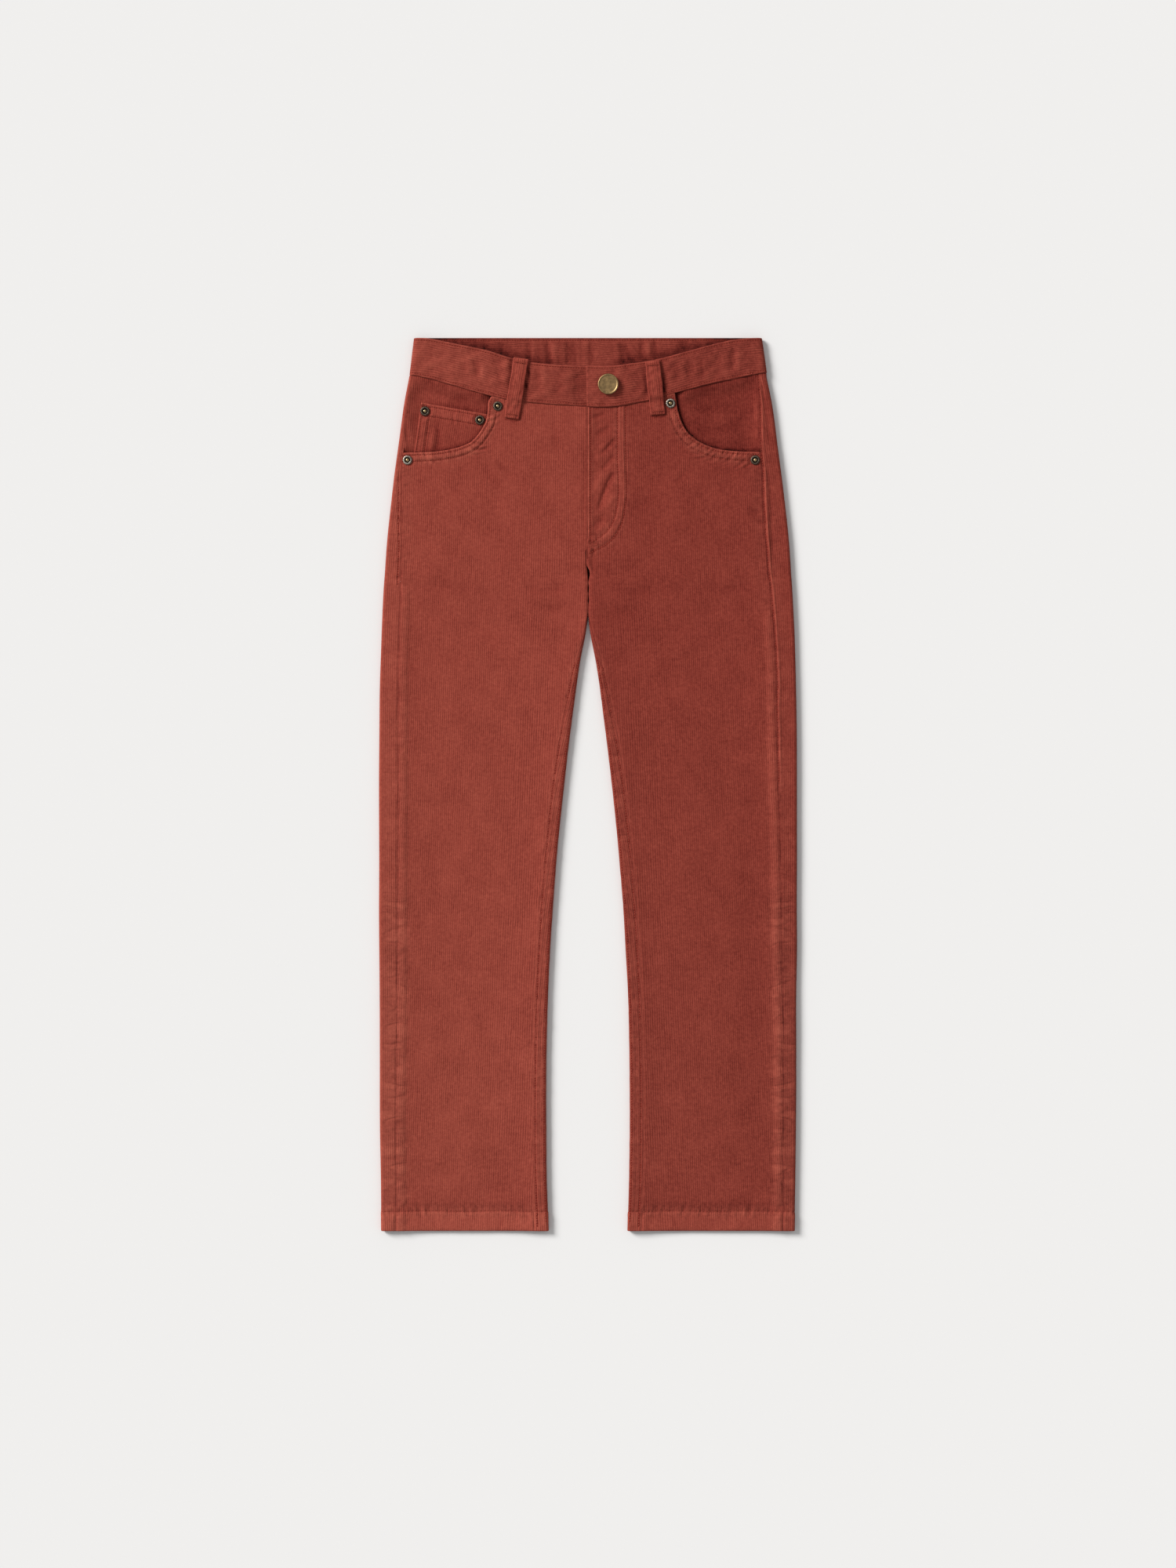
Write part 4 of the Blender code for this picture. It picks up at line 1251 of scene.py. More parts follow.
def makeBack(side):
    sign = sideSign[side]
    piece = backPiece
    steps, margin, lead = edgeGrid(piece)
    counts = waleColumns(-106, 14)
    nominal, down = startGrid(lead, piece["rows"], lead, len(counts) + 2 * lead)
    run = np.zeros(down.shape)
    for _ in range(4):
        low, high = backRunEnds(side, down)
        setColumns(run, low, high, counts * corduroy["pitch"], steps, margin)
        out = backPoint(run, down)[0]
        down = setRows(nominal, backTopEdge(side, run, out), hemDown, steps, margin)
    low, high = backRunEnds(side, down)
    out, height, faceOut, faceHigh = backPoint(run, down)
    fromEdge = np.minimum(np.where(faceHigh > 0.5, 9, high - run), hemDown - down)
    fromTop = np.where(faceHigh > 0.5, 9, down - backTopEdge(side, run, out))
    roll = edgeRoll(np.minimum(fromEdge, fromTop), piece["rollRadius"])
    above, pressedAbove = relief(out, down, backStripMarks[side])
    below, pressedBelow = relief(out, down, underMarks[side])
    facesUp = ease(faceHigh * 2)
    facesDown = ease(-faceHigh * 2 - 0.6)
    lift = above * facesUp + np.minimum(below, 0) * facesDown
    sewn = np.where(faceHigh > 0.5, np.minimum(high - run, run - low), 9)
    lift = lift + 0.12 * billow(out, down, 60, 51) * facesUp * ease((high - run) / 4)
    lift = lift - 0.10 * (1 + billow(out, down, 60, 53 + sign)) * facesDown
    apart = np.where(out < 60, ease((down - 246) / 30), 1)
    lift = mix(lift, seamMeet(lift, high - run, down, 44 + sign), facesUp)
    lift = mix(lift, seamMeet(lift, run - low, down, 64 + sign), facesUp)
    lift = lift - 0.20 * (1 + wave(down, 90, 55 + sign)) * (1 - np.abs(faceHigh)) * apart
    lift = lift - seamRoll(sewn, down, 90 + sign)
    pressed = pressedAbove * facesUp + pressedBelow * facesDown
    count = run / corduroy["pitch"]
    wales = waleDrop(count, pressed, sewn)
    # the inner folds touch under the crotch
    closed = (1 - apart) * ease((down - 188) / 4)
    move = (lift - wales - roll) * mix(1, ease((out - 1.5) / 3), closed)
    outerHeight = np.maximum(height + faceHigh * move, 0)
    outerSkin = faceUp(sign * (out + faceOut * move), down, outerHeight)
    inward = lift - layer
    innerSkin = faceUp(sign * (out + faceOut * inward), down, height + faceHigh * inward)
    stripTint = piece["stripTint"][side] * facesUp * ease((out - legOuter(down) + 25) / 8)
    # painted shade in the slit where the inner folds touch under the crotch
    crotchShade = piece["crotchShade"] * np.exp(-(out / 3.5) ** 4)
    crotchShade = crotchShade * ease((down - 182) / 6) * ease((244 - down) / 10)
    tint = napTint(side, out, down) + stripTint + crotchShade
    # ridges worn lighter, with painted shade in the hollows
    tint = tint + wearAndShadeTint(above) * facesUp + seamTint(side, np.where(out < 80, 9, sewn), down)
    if side == "left":
        # painted highlight on the ridge beside the left side seam
        tint = tint + piece["ridgeHighlight"] * facesUp * fadeFrom(high - run - 2.4, 0.8) * (down < 380)
    gathers = gatherField(out, down, legGathers(side))
    gathers[..., 2] *= facesUp
    weave = np.concatenate([np.stack([count, down, tint], axis=-1), gathers], axis=-1)
    made = clothMesh("cloth_back_" + side, outerSkin, innerSkin, weave, 8, trouserCloth)
    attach(made, "root")
    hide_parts("back_" + side)
    return made


facingPiece = {
    "top": 2.35,
    "inner": 66.0,
    "down": 107.0,
    "ramp": 14.0,
    "gap": 0.006,
    "lean": {"right": 0.075, "left": 0.055},
    "leanFrom": 45,
    "sewnTo": 97,           # down to here it is sewn to the back
    "tint": {"right": -0.15, "left": -0.17},
    # painted shade where the facing tucks under the scoop's edge, on each side
    "scoopShade": {"right": 0.36, "left": 0.52},
    # the facing's ridges worn lighter and its hollows given painted shade, more than elsewhere
    "wearAndShadeMore": 1.4,
    "seamTint": 0.15,       # on the right, next to the side seam and above the coin pocket
    # painted shadow on the facing along the coin pocket's hem edge
    "coinEdgeShade": -0.30,
    "edgeSteps": (0.0, 0.05, 0.5),
    "margin": 1.2,
    "rollRadius": 0.5,
    "rows": np.arange(30, 106, 2.4),
}
facingMarks = {
    "right": creases(
        ([(156, 64), (154, 78), (151, 92)], -0.45, 1.3),
        ([(152, 62), (150, 76), (147, 92)], 0.35, 2.0),
        ([(98, 52), (112, 50), (130, 46)], -0.25, 3.0),
    ),
    "left": creases(
        ([(140, 42), (142, 62), (142.5, 88)], 0.45, 2.2),
        ([(90, 74), (106, 78), (124, 72)], -0.30, 4.0),
        ([(84, 62), (100, 60), (128, 52)], -0.25, 3.5),
        ([(96, 86), (112, 89), (132, 90)], -0.30, 3.0),
    ),
}


def scoopShade(side, out, down):
    # painted shade where cloth tucks under the scoop and the waistband
    distance = nearPath(out, down, scoopPath[side], 9.0)[0]
    tucked = facingPiece["scoopShade"][side] * fadeFrom(distance, 1.2) + 0.18 * fadeFrom(distance, 3.2)
    return -tucked - 0.06 * fadeFrom(down - bandLow[side](out), 2.0)


def facingHeight(side, out, down):
    sign = sideSign[side]
    seamOut = sideSeamOut(side, down)
    nearSeam = np.maximum(0, 1 - (seamOut - out) / facingPiece["ramp"]) ** 2
    height = facingPiece["top"] + (legTop - facingPiece["top"]) * nearSeam * ease((98.5 - down) / 6)
    # it is sewn to the waistband, so it rises to it in the open part of the pocket
    distance, _, where, _ = nearPath(out, down, scoopPath[side], 90)
    inOpening = np.where(where < 0, ease((distance - 0.5) / 8), 0)
    underBand = ease(1 - (down - bandLow[side](out)) / 13)
    height = np.maximum(height, mix(height, 4.9, underBand * inOpening))
    added, pressed = relief(out, down, facingMarks[side])
    added = added + (0.16 * billow(out, down, 34, 61 + sign)
                     + 0.10 * billow(out, down, 12, 65 + sign)) * (0.3 + 0.7 * inOpening)
    added = seamMeet(added, seamOut - out, down, 44 + sign)
    return height + added, pressed, added


def makeFacing(side):
    piece = facingPiece
    steps, margin, lead = edgeGrid(piece)
    counts = waleColumns(33, 96)
    nominal, down = startGrid(lead, piece["rows"], lead, len(counts) + 2 * lead)
    out = np.zeros(down.shape)
    inner = np.full(down.shape, piece["inner"])
    for _ in range(5):
        high = sideSeamOut(side, down) - piece["gap"]
        lines = counts * corduroy["pitch"] + (down[:, lead:-lead] - piece["leanFrom"]) * piece["lean"][side]
        setColumns(out, inner, high, lines, steps, margin)
        down = setRows(nominal, bandLow[side](out) + seamGap, piece["down"], steps, margin)
    high = sideSeamOut(side, down) - piece["gap"]
    top = bandLow[side](out) + seamGap
    sewnSide = down < piece["sewnTo"]
    fromEdge = np.minimum.reduce([out - piece["inner"], np.where(sewnSide, 9, high - out),
                                  piece["down"] - down])
    sewn = np.minimum(np.where(sewnSide, high - out, 9), down - top)
    height, pressed, raised = facingHeight(side, out, down)
    height = height - seamRoll(sewn, down + out, 69)
    count = (out - (down - piece["leanFrom"]) * piece["lean"][side]) / corduroy["pitch"]
    wales = waleDrop(count, pressed, sewn)
    roll = edgeRoll(fromEdge, piece["rollRadius"])
    # painted shade where the facing tucks under the scoop and the waistband
    tint = napTint(side, out, down) + scoopShade(side, out, down) + piece["tint"][side]
    # ridges worn lighter, with painted shade in the hollows
    tint = tint + wearAndShadeTint(raised) * piece["wearAndShadeMore"]
    if side == "right":
        tint = tint + piece["seamTint"] * fadeFrom(high - out, 5.0)
        # painted shadow on the facing along the coin pocket's hem edge
        tint = tint + piece["coinEdgeShade"] * fadeFrom(nearPath(out, down, coinHem, 7.0)[0], 2.6)
    weave = np.stack([count, down, tint], axis=-1)
    made = flatShell("cloth_pocket_facing_" + side, sideSign[side] * out, down, height - wales - roll,
                     height - layer, weave, 8)
    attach(made, "root")
    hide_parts("pocket_facing_" + side)
    return made


coinPiece = {
    "hemInner": (78.0, 65.6),
    "hemOuter": (140.6, 54.5),
    "lowOuter": (146.5, 96.0),
    "lowDown": 103.0,
    "edgeSteps": (0.0, 0.06, 0.5),
    "margin": 1.2,
    "rollRadius": 0.8,
    "tint": -0.13,
    "hemFoldHighlight": 0.16,        # painted highlight along the hem's fold
    "hemRowTint": -0.14,    # and along its upper row of stitches
    # painted shade along the pocket's fold crease
    "foldShade": -0.13,
}
coinCorner = np.array(coinPiece["hemOuter"])
coinAlong = np.array(coinPiece["hemInner"]) - coinCorner
coinWidth = float(np.linalg.norm(coinAlong))
coinAlong /= coinWidth
coinDrop = np.array(coinPiece["lowOuter"]) - coinCorner
coinDrop /= np.linalg.norm(coinDrop)


def coinPlace(across, below):
    # out and down of a place that is across from the outer edge and below the hem
    out = coinCorner[0] + across * coinAlong[0] + below * coinDrop[0]
    down = coinCorner[1] + across * coinAlong[1] + below * coinDrop[1]
    return out, down


def coinLine(points):
    places = np.array([coinPlace(*p) for p in points])
    return smoothPath(places)


coinHem = coinLine([(8, 0), (30, 0), (60, 0)])
coinSeams = [
    coinLine([(1, 2.4), (30, 2.2), (62, 2.4)]), coinLine([(1, 10.2), (30, 9.8), (61, 10.4)]),
    coinLine([(2.2, 1), (2.2, 20), (2.4, 44)]), coinLine([(8.0, 3), (8.0, 20), (8.2, 44)]),
]
coinFold = crease([coinPlace(16, 15), coinPlace(18.5, 28), coinPlace(17, 44)], -0.58, 2.7, 0.3)
coinMarks = [seam(path) for path in coinSeams] + [
    band(coinLine([(0, 0), (30, 0), (63.5, 0)]), 0.55, 10.8, -1, 0.14),
    band(coinLine([(0, 1), (0, 20), (0, 46)]), 0.40, 8.6, 1, 0.16),
    pucker(coinSeams[1], 0.30, 5.0, 3.0, 0.3, 71),
    pucker(coinSeams[0], 0.20, 4.0, 2.4, 0.3, 73),
    pucker(coinSeams[2], 0.24, 4.4, 2.6, 0.3, 72),
    pucker(coinSeams[3], 0.24, 5.0, 2.8, 0.3, 74),
    coinFold,
    crease([coinPlace(13, 18), coinPlace(14, 28), coinPlace(13.5, 42)], 0.45, 2.0),
    crease([coinPlace(26, 22), coinPlace(34, 30), coinPlace(44, 32)], -0.25, 3.0),
]


def coinHeight(out, down):
    base = facingHeight("right", out, down)[0]
    added, pressed = relief(out, down, coinMarks, coinRivets)
    return base + seamGap + layer + added, pressed, added


def makeCoinPocket():
    piece = coinPiece
    steps, margin, _ = edgeGrid(piece)
    counts = waleColumns(0, 37)
    inside = np.clip(counts * corduroy["pitch"], margin, coinWidth - margin)
    across = np.concatenate([steps, inside, coinWidth - steps[::-1]])
    lowest = (piece["lowDown"] - coinCorner[1] - across * coinAlong[1]) / coinDrop[1]
    shares = np.sort(np.concatenate([np.arange(1.5, 47, 1.5), (1.8, 2.4, 3.2, 9.3, 9.9, 10.3, 11.1)]))
    below = np.minimum(shares[:, None], lowest[None, :] - margin)
    below = np.concatenate([np.repeat(steps[:, None], len(across), axis=1), np.maximum(below, margin),
                            lowest[None, :] - steps[::-1, None]])
    across = np.broadcast_to(across, below.shape)
    out, down = coinPlace(across, below)
    fromEdge = np.minimum.reduce([across, coinWidth - across, below, lowest[None, :] - below])
    height, pressed, raised = coinHeight(out, down)
    count = across / corduroy["pitch"]
    wales = corduroy["depth"] * (1 - waleHeight(count)) * (1 - pressed)
    roll = edgeRoll(fromEdge, piece["rollRadius"])
    # painted shade where the pocket tucks under the scoop and the waistband
    # the pocket's ridges worn lighter, with painted shade in its hollows
    tint = napTint("right", out, down) + scoopShade("right", out, down) + piece["tint"] + wearAndShadeTint(raised)
    tint = tint + piece["hemFoldHighlight"] * fadeFrom(below - 0.7, 0.7)
    tint = tint + piece["hemRowTint"] * fadeFrom(below - 2.4, 0.6)
    # painted shade along the pocket's fold crease
    tint = tint + piece["foldShade"] * fadeFrom(nearPath(out, down, coinFold["path"], 9.0)[0], 2.8)
    weave = np.stack([count, below, tint], axis=-1)
    made = flatShell("cloth_coin_pocket", -out, down, height - wales - roll, height - layer, weave, 8)
    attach(made, "root")
    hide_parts("coin_pocket")
    return made


waistbandPiece = {
    "thick": 2.0,
    "step": 2.4,
    "edgeSteps": (0.0, 0.12, 0.45, 0.95),
    "margin": 1.3,
    "foldRadius": 3.0,
    "paleRun": 700.0,       # the cloth's colour is paler this far along
    "stitchInset": 2.1,
    "stitchDepth": 0.32,
    "stitchWidth": 0.75,
    "endInset": 2.4,
    "frontRun": 160,        # how much of the band's length lies in front of each side
    "loopShadow": -0.55,      # painted shadow beside the belt loops
    "innerTint": -0.17,
    "shadedTint": -0.50,    # on the inner side, just above the front of the band
    # painted shade along the band's top edge on its inner side, where it folds over
    "foldShade": -0.42,
    # how light the nap lies, by x, with painted shadow from -4 to -2.2 beside the left end, which lies over
    # the right one
    "tints": ((-147, 0.0), (-100, 0.02), (-62, -0.05), (-12, -0.10), (-4, -0.26), (-2.2, -0.26),
              (-2, -0.10), (30, -0.12), (62, -0.20), (100, -0.23), (147, -0.21)),
}


def bandTrack():
    # both edges of the band, station by station, from its left end round the back to its right end
    rows = []

    def front(side, sign):
        table = bandRows[side]
        outs = np.linspace(table[0, 0], table[-1, 0], int((table[-1, 0] - table[0, 0]) / 3))
        lowOut = smoothCurve(table[:, 0], table[:, 2])(outs)
        lowDown = bandLow[side](lowOut)
        face = bandFace[side](outs)
        return [(sign * a, b, e, sign * c, d, e) for a, b, c, d, e in
                zip(outs, bandTop[side](outs), lowOut, lowDown, face)]

    def fold(side, sign):
        radius = waistbandPiece["foldRadius"]
        turns = np.linspace(math.pi, 0, 17)[1:]
        low = bandRows[side][-1, 2], bandRows[side][-1, 3]
        return [(sign * (143.7 + radius * math.sin(t)), 0.3 * t / math.pi, radius - radius * math.cos(t),
                 sign * (low[0] + radius * math.sin(t)), low[1], radius - radius * math.cos(t))
                for t in turns]

    rows += front("left", 1) + fold("left", 1)
    lowLeft, lowRight = bandRows["left"][-1], bandRows["right"][-1]
    for share in np.linspace(0, 1, 40)[1:-1]:
        lowX = mix(lowLeft[2], -lowRight[2], share)
        sideDown = mix(lowLeft[3], lowRight[3], share)
        lowDown = mix(sideDown, bandBackDown, float(ease(1 - abs(2 * share - 1))))
        rows.append((mix(143.7, -143.7, share), 0, 0, lowX, lowDown, 0))
    rows += fold("right", -1)[::-1] + front("right", -1)[::-1]
    rows = np.array(rows)
    middle = (rows[:, :3] + rows[:, 3:]) / 2
    run = wayAlong(middle)
    return run, rows


bandRun, bandStations = bandTrack()
bandLength = float(bandRun[-1])


def bandBase(run, share):
    # a place on the outer skin as x, y, z: share is 0 at the top edge and 1 at the lower one
    edges = [np.interp(run, bandRun, bandStations[:, k]) for k in range(6)]
    x = mix(edges[0], edges[3], share)
    down = mix(edges[1], edges[4], share)
    z = mix(edges[2], edges[5], share)
    return np.stack([x, waistY - down, z], axis=-1)


def bandWidth(run):
    top, low = bandBase(run, 0.0), bandBase(run, 1.0)
    return np.linalg.norm(top - low, axis=-1)


def bandFacing(run, share):
    along = bandBase(np.minimum(run + 0.6, bandLength), share) - bandBase(np.maximum(run - 0.6, 0), share)
    across = bandBase(run, 1.0) - bandBase(run, 0.0)
    facing = np.cross(across, along)
    return facing / np.linalg.norm(facing, axis=-1, keepdims=True)


# marks on the band are placed by x, with the wearer's right below 0, and down
bandCreases = creases(
    ([(-8, 26), (-9, 40), (-11, 56)], -0.45, 2.4),
    ([(-97, 16), (-93.5, 26), (-94, 36)], -0.55, 2.0),
    ([(-89.5, 20), (-88.5, 30), (-89, 40)], 0.40, 2.2),
    ([(-101, 14), (-100, 24), (-100.5, 34)], 0.35, 2.2),
    ([(-63.8, 16), (-64.2, 25), (-65.4, 36), (-66.5, 46)], -1.1, 1.3, 0.15),
    ([(-67.6, 17), (-69, 30), (-70, 43)], 0.55, 2.0),
    ([(-75, 15), (-75.5, 28), (-76.5, 40)], -0.30, 2.0),
    ([(-49.0, 20), (-50.2, 30), (-52.6, 44)], -0.6, 1.2, 0.15),
    ([(62.4, 18), (63.6, 32), (65.4, 48)], -0.7, 1.2, 0.15),
    ([(47.0, 23), (47.6, 36), (49.4, 50)], -0.6, 1.2, 0.15),
    ([(-43, 24), (-42.5, 34), (-44, 48)], -0.40, 2.2),
    ([(-36, 24), (-37, 38), (-36, 52)], 0.30, 2.6),
    ([(-26, 26), (-25, 40), (-27, 54)], -0.25, 2.4),
    ([(121.5, 6), (122, 18), (121, 31)], -0.50, 1.8),
    ([(126, 5), (126.5, 16), (126, 29)], 0.35, 2.2),
    ([(108, 9), (109.5, 20), (109, 34)], -0.35, 2.2),
    ([(94, 11), (95, 24), (95.5, 38)], -0.40, 2.2),
    ([(83, 14), (84.5, 26), (84, 40)], -0.38, 2.4),
    ([(73, 18), (74, 30), (73.5, 42)], -0.30, 2.2),
    ([(40, 25), (42.5, 38), (41, 50)], -0.38, 2.2),
    ([(31, 26), (33, 40), (32, 52)], 0.30, 2.4),
)
# beside the belt loops: painted shadow on the band there
loopCrevices = [
    smoothPath([(-63.7, 17), (-64.2, 26), (-65.6, 38)]),
    smoothPath([(-49.3, 20), (-50.4, 30), (-53.0, 46)]),
    smoothPath([(60.8, 20), (62.2, 32), (64.3, 46)]),
    smoothPath([(47.4, 23), (48.2, 34), (49.8, 46)]),
]
backGathers = creases(
    ([(-74, 1), (-73, 9), (-72, 17)], -0.40, 2.0),
    ([(-36, 1), (-34, 12), (-31, 24)], -0.75, 1.8),
    ([(-30, 2), (-28.5, 14), (-28, 26)], 0.45, 2.4),
    ([(-18, 1), (-17, 12), (-16.5, 26)], -0.85, 1.7),
    ([(-12.5, 2), (-12, 14), (-11, 26)], -0.45, 1.8),
    ([(1.5, 3), (1.5, 14), (1.5, 26)], -0.22, 2.0),
    ([(26, 3), (29, 12), (28.5, 24)], -0.85, 1.5),
    ([(30, 4), (34, 14), (38, 22)], -0.60, 1.8),
    ([(44, 1), (44, 10), (44, 20)], -0.55, 1.8),
    ([(55, 1), (55.5, 9), (56, 17)], -0.60, 1.8),
    ([(50, 1), (50, 10), (49.5, 18)], 0.35, 2.2),
    ([(-52, 1), (-50, 10), (-50, 22)], -0.35, 2.2),
    ([(-90, 1), (-89, 6), (-88, 11)], -0.30, 2.2),
    ([(80, 1), (80, 6), (80, 12)], -0.40, 2.2),
)


def bandSkin(run, share, outside=True):
    # a place on the band's outer or inner skin with its puckers, and the direction it faces
    base, facing = bandBase(run, share), bandFacing(run, share)
    x, down = base[..., 0], waistY - base[..., 1]
    width = bandWidth(run)
    fromTop, fromLow = share * width, (1 - share) * width
    upward = ease(facing[..., 2] * 3 - 1)
    downward = ease(-facing[..., 2] * 3 - 1)
    rippleTop = 0.16 * wave(run, 7.0, 81) * fadeFrom(fromTop, 6)
    rippleLow = 0.18 * wave(run, 8.5, 82) * fadeFrom(fromLow, 6)
    swell = 0.16 * wave(run + 0.15 * fromTop, 26.0, 83)
    crumple = 0.24 * billow(run, fromTop * 1.4, 12.0, 84) + 0.12 * billow(run, fromTop, 5.5, 89)
    lift = (rippleTop + rippleLow + swell + crumple) * upward
    if outside:
        added, _ = relief(x, down, bandCreases)
        lift = lift + 1.5 * added * upward - 0.12 * (1 + wave(run, 14.0, 85)) * downward
        return base + facing * lift[..., None], facing, lift
    added, _ = relief(x, down, backGathers)
    gathers = np.clip(1.75 * added + 0.26 * wave(run, 9.0, 86) + 0.10, -0.95, 1.3) * downward
    depth = waistbandPiece["thick"] - lift + gathers
    return base - facing * depth[..., None], -facing, gathers


def bandStitchPress(run, share):
    width = bandWidth(run)
    inset = waistbandPiece["stitchInset"]
    distances = (share * width - inset, (1 - share) * width - inset)
    reach = waistbandPiece["stitchWidth"]
    near = np.maximum(fadeFrom(distances[0], reach), fadeFrom(distances[1], reach))
    return np.maximum(near, fadeFrom(run - waistbandPiece["endInset"], reach))


def makeWaistband():
    piece = waistbandPiece
    steps, margin, lead = edgeGrid(piece)
    counts = waleColumns(0, 20)
    stations = np.arange(1.6, bandLength - 1.4, piece["step"])
    runs = np.concatenate([steps, stations, bandLength - steps[::-1]])
    width = bandWidth(runs)[:, None]
    across = np.clip(counts[None, :] * corduroy["bandPitch"], margin, width - margin)
    firstSteps = np.broadcast_to(steps, (len(runs), lead))
    across = np.concatenate([firstSteps, across, width - steps[::-1]], axis=1)
    run = np.repeat(runs[:, None], across.shape[1], axis=1)
    count = across / corduroy["bandPitch"]
    calm = ease((across - 1) / 4) * ease((width - 1 - across) / 4)
    across = across + 0.55 * billow(run, across * 1.6, 21, 88) * calm
    share = across / width
    pressed = bandStitchPress(run, share)
    crisp = np.clip(1.2 + 0.9 * billow(run, across * 1.4, 14, 92), 0.3, 2.1)
    wales = corduroy["depth"] * crisp * (1 - waleHeight(count)) * (1 - 0.75 * pressed) + 0.32 * pressed
    fromEdge = np.minimum.reduce([across, width - across, run, bandLength - run])
    half = piece["thick"] / 2
    roll = edgeRoll(fromEdge, half)
    outerBase, outerFacing, raised = bandSkin(run, share)
    wales = wales * (0.25 + 0.75 * np.abs(outerFacing[..., 2]))
    innerBase, innerFacing, gathered = bandSkin(run, share, outside=False)
    middle = (outerBase + innerBase) / 2
    inward = np.maximum(wales * (1 - ease(1 - fromEdge)), 0) + roll
    outer = outerBase - outerFacing * inward[..., None]
    inner = innerBase - innerFacing * inward[..., None]
    onEdge = (fromEdge < 1e-6)[..., None]
    outer = np.where(onEdge, middle, outer)
    inner = np.where(onEdge, middle, inner)
    outer[..., 2] = np.maximum(outer[..., 2], 0)
    x = outer[..., 0]
    # ridges worn lighter, with painted shade in the hollows
    tint = np.interp(x, *zip(*piece["tints"])) + 0.04 * billow(run, across, 17, 87) + wearAndShadeTint(raised)
    tint = tint + 0.045 * billow(run * 2.0, across * 0.4, 16, 93)
    # painted shadow on the band beside the belt loops
    for path in loopCrevices:
        near = nearPath(x, waistY - outer[..., 1], path, 5.0)[0]
        tint = tint + piece["loopShadow"] * fadeFrom(near, 0.8) * (outerFacing[..., 2] > 0)
    weave = np.stack([count, run + piece["paleRun"], tint], axis=-1)
    rows, columns = share.shape
    index = numbered(rows, columns)
    points = np.concatenate([outer.reshape(-1, 3), inner.reshape(-1, 3)])
    innerTint = weave.copy()
    # the gathers' ridges worn lighter, with painted shade between them
    innerTint[..., 2] = piece["innerTint"] + 1.5 * wearAndShadeTint(gathered)
    innerOut, innerDown = inner[..., 0], waistY - inner[..., 1]
    facesUp = innerFacing[..., 2] > 0
    for side in sideSign:
        out = sideSign[side] * innerOut
        under = np.maximum(bandTop[side](out) - innerDown, 0)
        shaded = ease((out - 16) / 16) * facesUp
        innerTint[..., 2] += piece["shadedTint"] * fadeFrom(under, 6.5) * shaded
    # painted shade along the band's top edge on its inner side, where it folds over
    innerTint[..., 2] += piece["foldShade"] * fadeFrom(innerDown, 1.1) * facesUp
    values = np.concatenate([weave.reshape(-1, 3), innerTint.reshape(-1, 3)])
    faces = [gridQuads(index), gridQuads(index + rows * columns)[:, ::-1]]
    points, faces, values = weld(points, faces, values)
    made = makeMesh("cloth_waistband", points, faces, [trouserCloth], values)
    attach(made, "root")
    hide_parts("waistband")
    return made


loopPiece = {
    "width": 12.6,
    "thick": 1.6,
    "edgeSteps": (0.0, 0.05, 0.3, 0.7),
    "margin": 1.15,
    "rollRadius": 1.1,
    "stitchOut": 4.4,       # from the middle to the rows of stitches
    "tint": {"right": 0.02, "left": -0.08},
    # how far the loop's ridges are worn lighter and its grooves and dents darkened with painted shade
    "wearAndShadeTint": 0.30,
    # top out and down, low out and down
    "right": (56.3, 17.6, 64.2, 68.3),
    "left": (54.2, 20.0, 58.8, 65.2),
    "arch": smoothCurve((0.0, 0.10, 0.30, 0.50, 0.68, 0.86, 1.0), (0.3, 0.3, 0.9, 1.2, 1.0, 0.4, 0.3)),
}


def carrierFace(side, out, down):
    past = (down - bandLow[side](out)) / 3
    return mix(bandFace[side](out), legTop, ease(past + 0.5))


def loopSkin(side, share, across):
    # a place on a loop: share runs down it, and across goes from -0.5 to 0.5
    topOut, topDown, lowOut, lowDown = loopPiece[side]
    length = math.hypot(lowOut - topOut, lowDown - topDown)
    alongOut, alongDown = (lowOut - topOut) / length, (lowDown - topDown) / length
    middleOut, middleDown = mix(topOut, lowOut, share), mix(topDown, lowDown, share)
    pinch = 1 - 0.03 * np.sin(share * 9 + sideSign[side]) - 0.02 * np.sin(share * 23 + across * 3)
    end = np.clip(1 - np.minimum(share, 1 - share) * length / 1.5, 0, 1)
    pinch = pinch - 0.14 * (1 - np.sqrt(1 - end * end))
    out = middleOut + across * loopPiece["width"] * pinch * alongDown
    down = middleDown - across * loopPiece["width"] * pinch * alongOut
    z = carrierFace(side, middleOut, middleDown) + loopPiece["arch"](share) + loopPiece["thick"]
    distance = np.abs(np.abs(across) * loopPiece["width"] - loopPiece["stitchOut"])
    groove = fadeFrom(distance, 0.6)
    dent = 0.45 * fadeFrom(share - (0.76 if side == "left" else 0.8), 0.025)
    bulge = 0.22 * fadeFrom(across * loopPiece["width"], 2.6)
    rumple = 0.24 * wave(share * length + 5 * across, 7.0, 95 + sideSign[side])
    rumple = rumple + 0.14 * billow(share * length, across * 14, 6.0, 97) - 0.38 * groove - dent + bulge
    return out, down, z + rumple, rumple, length


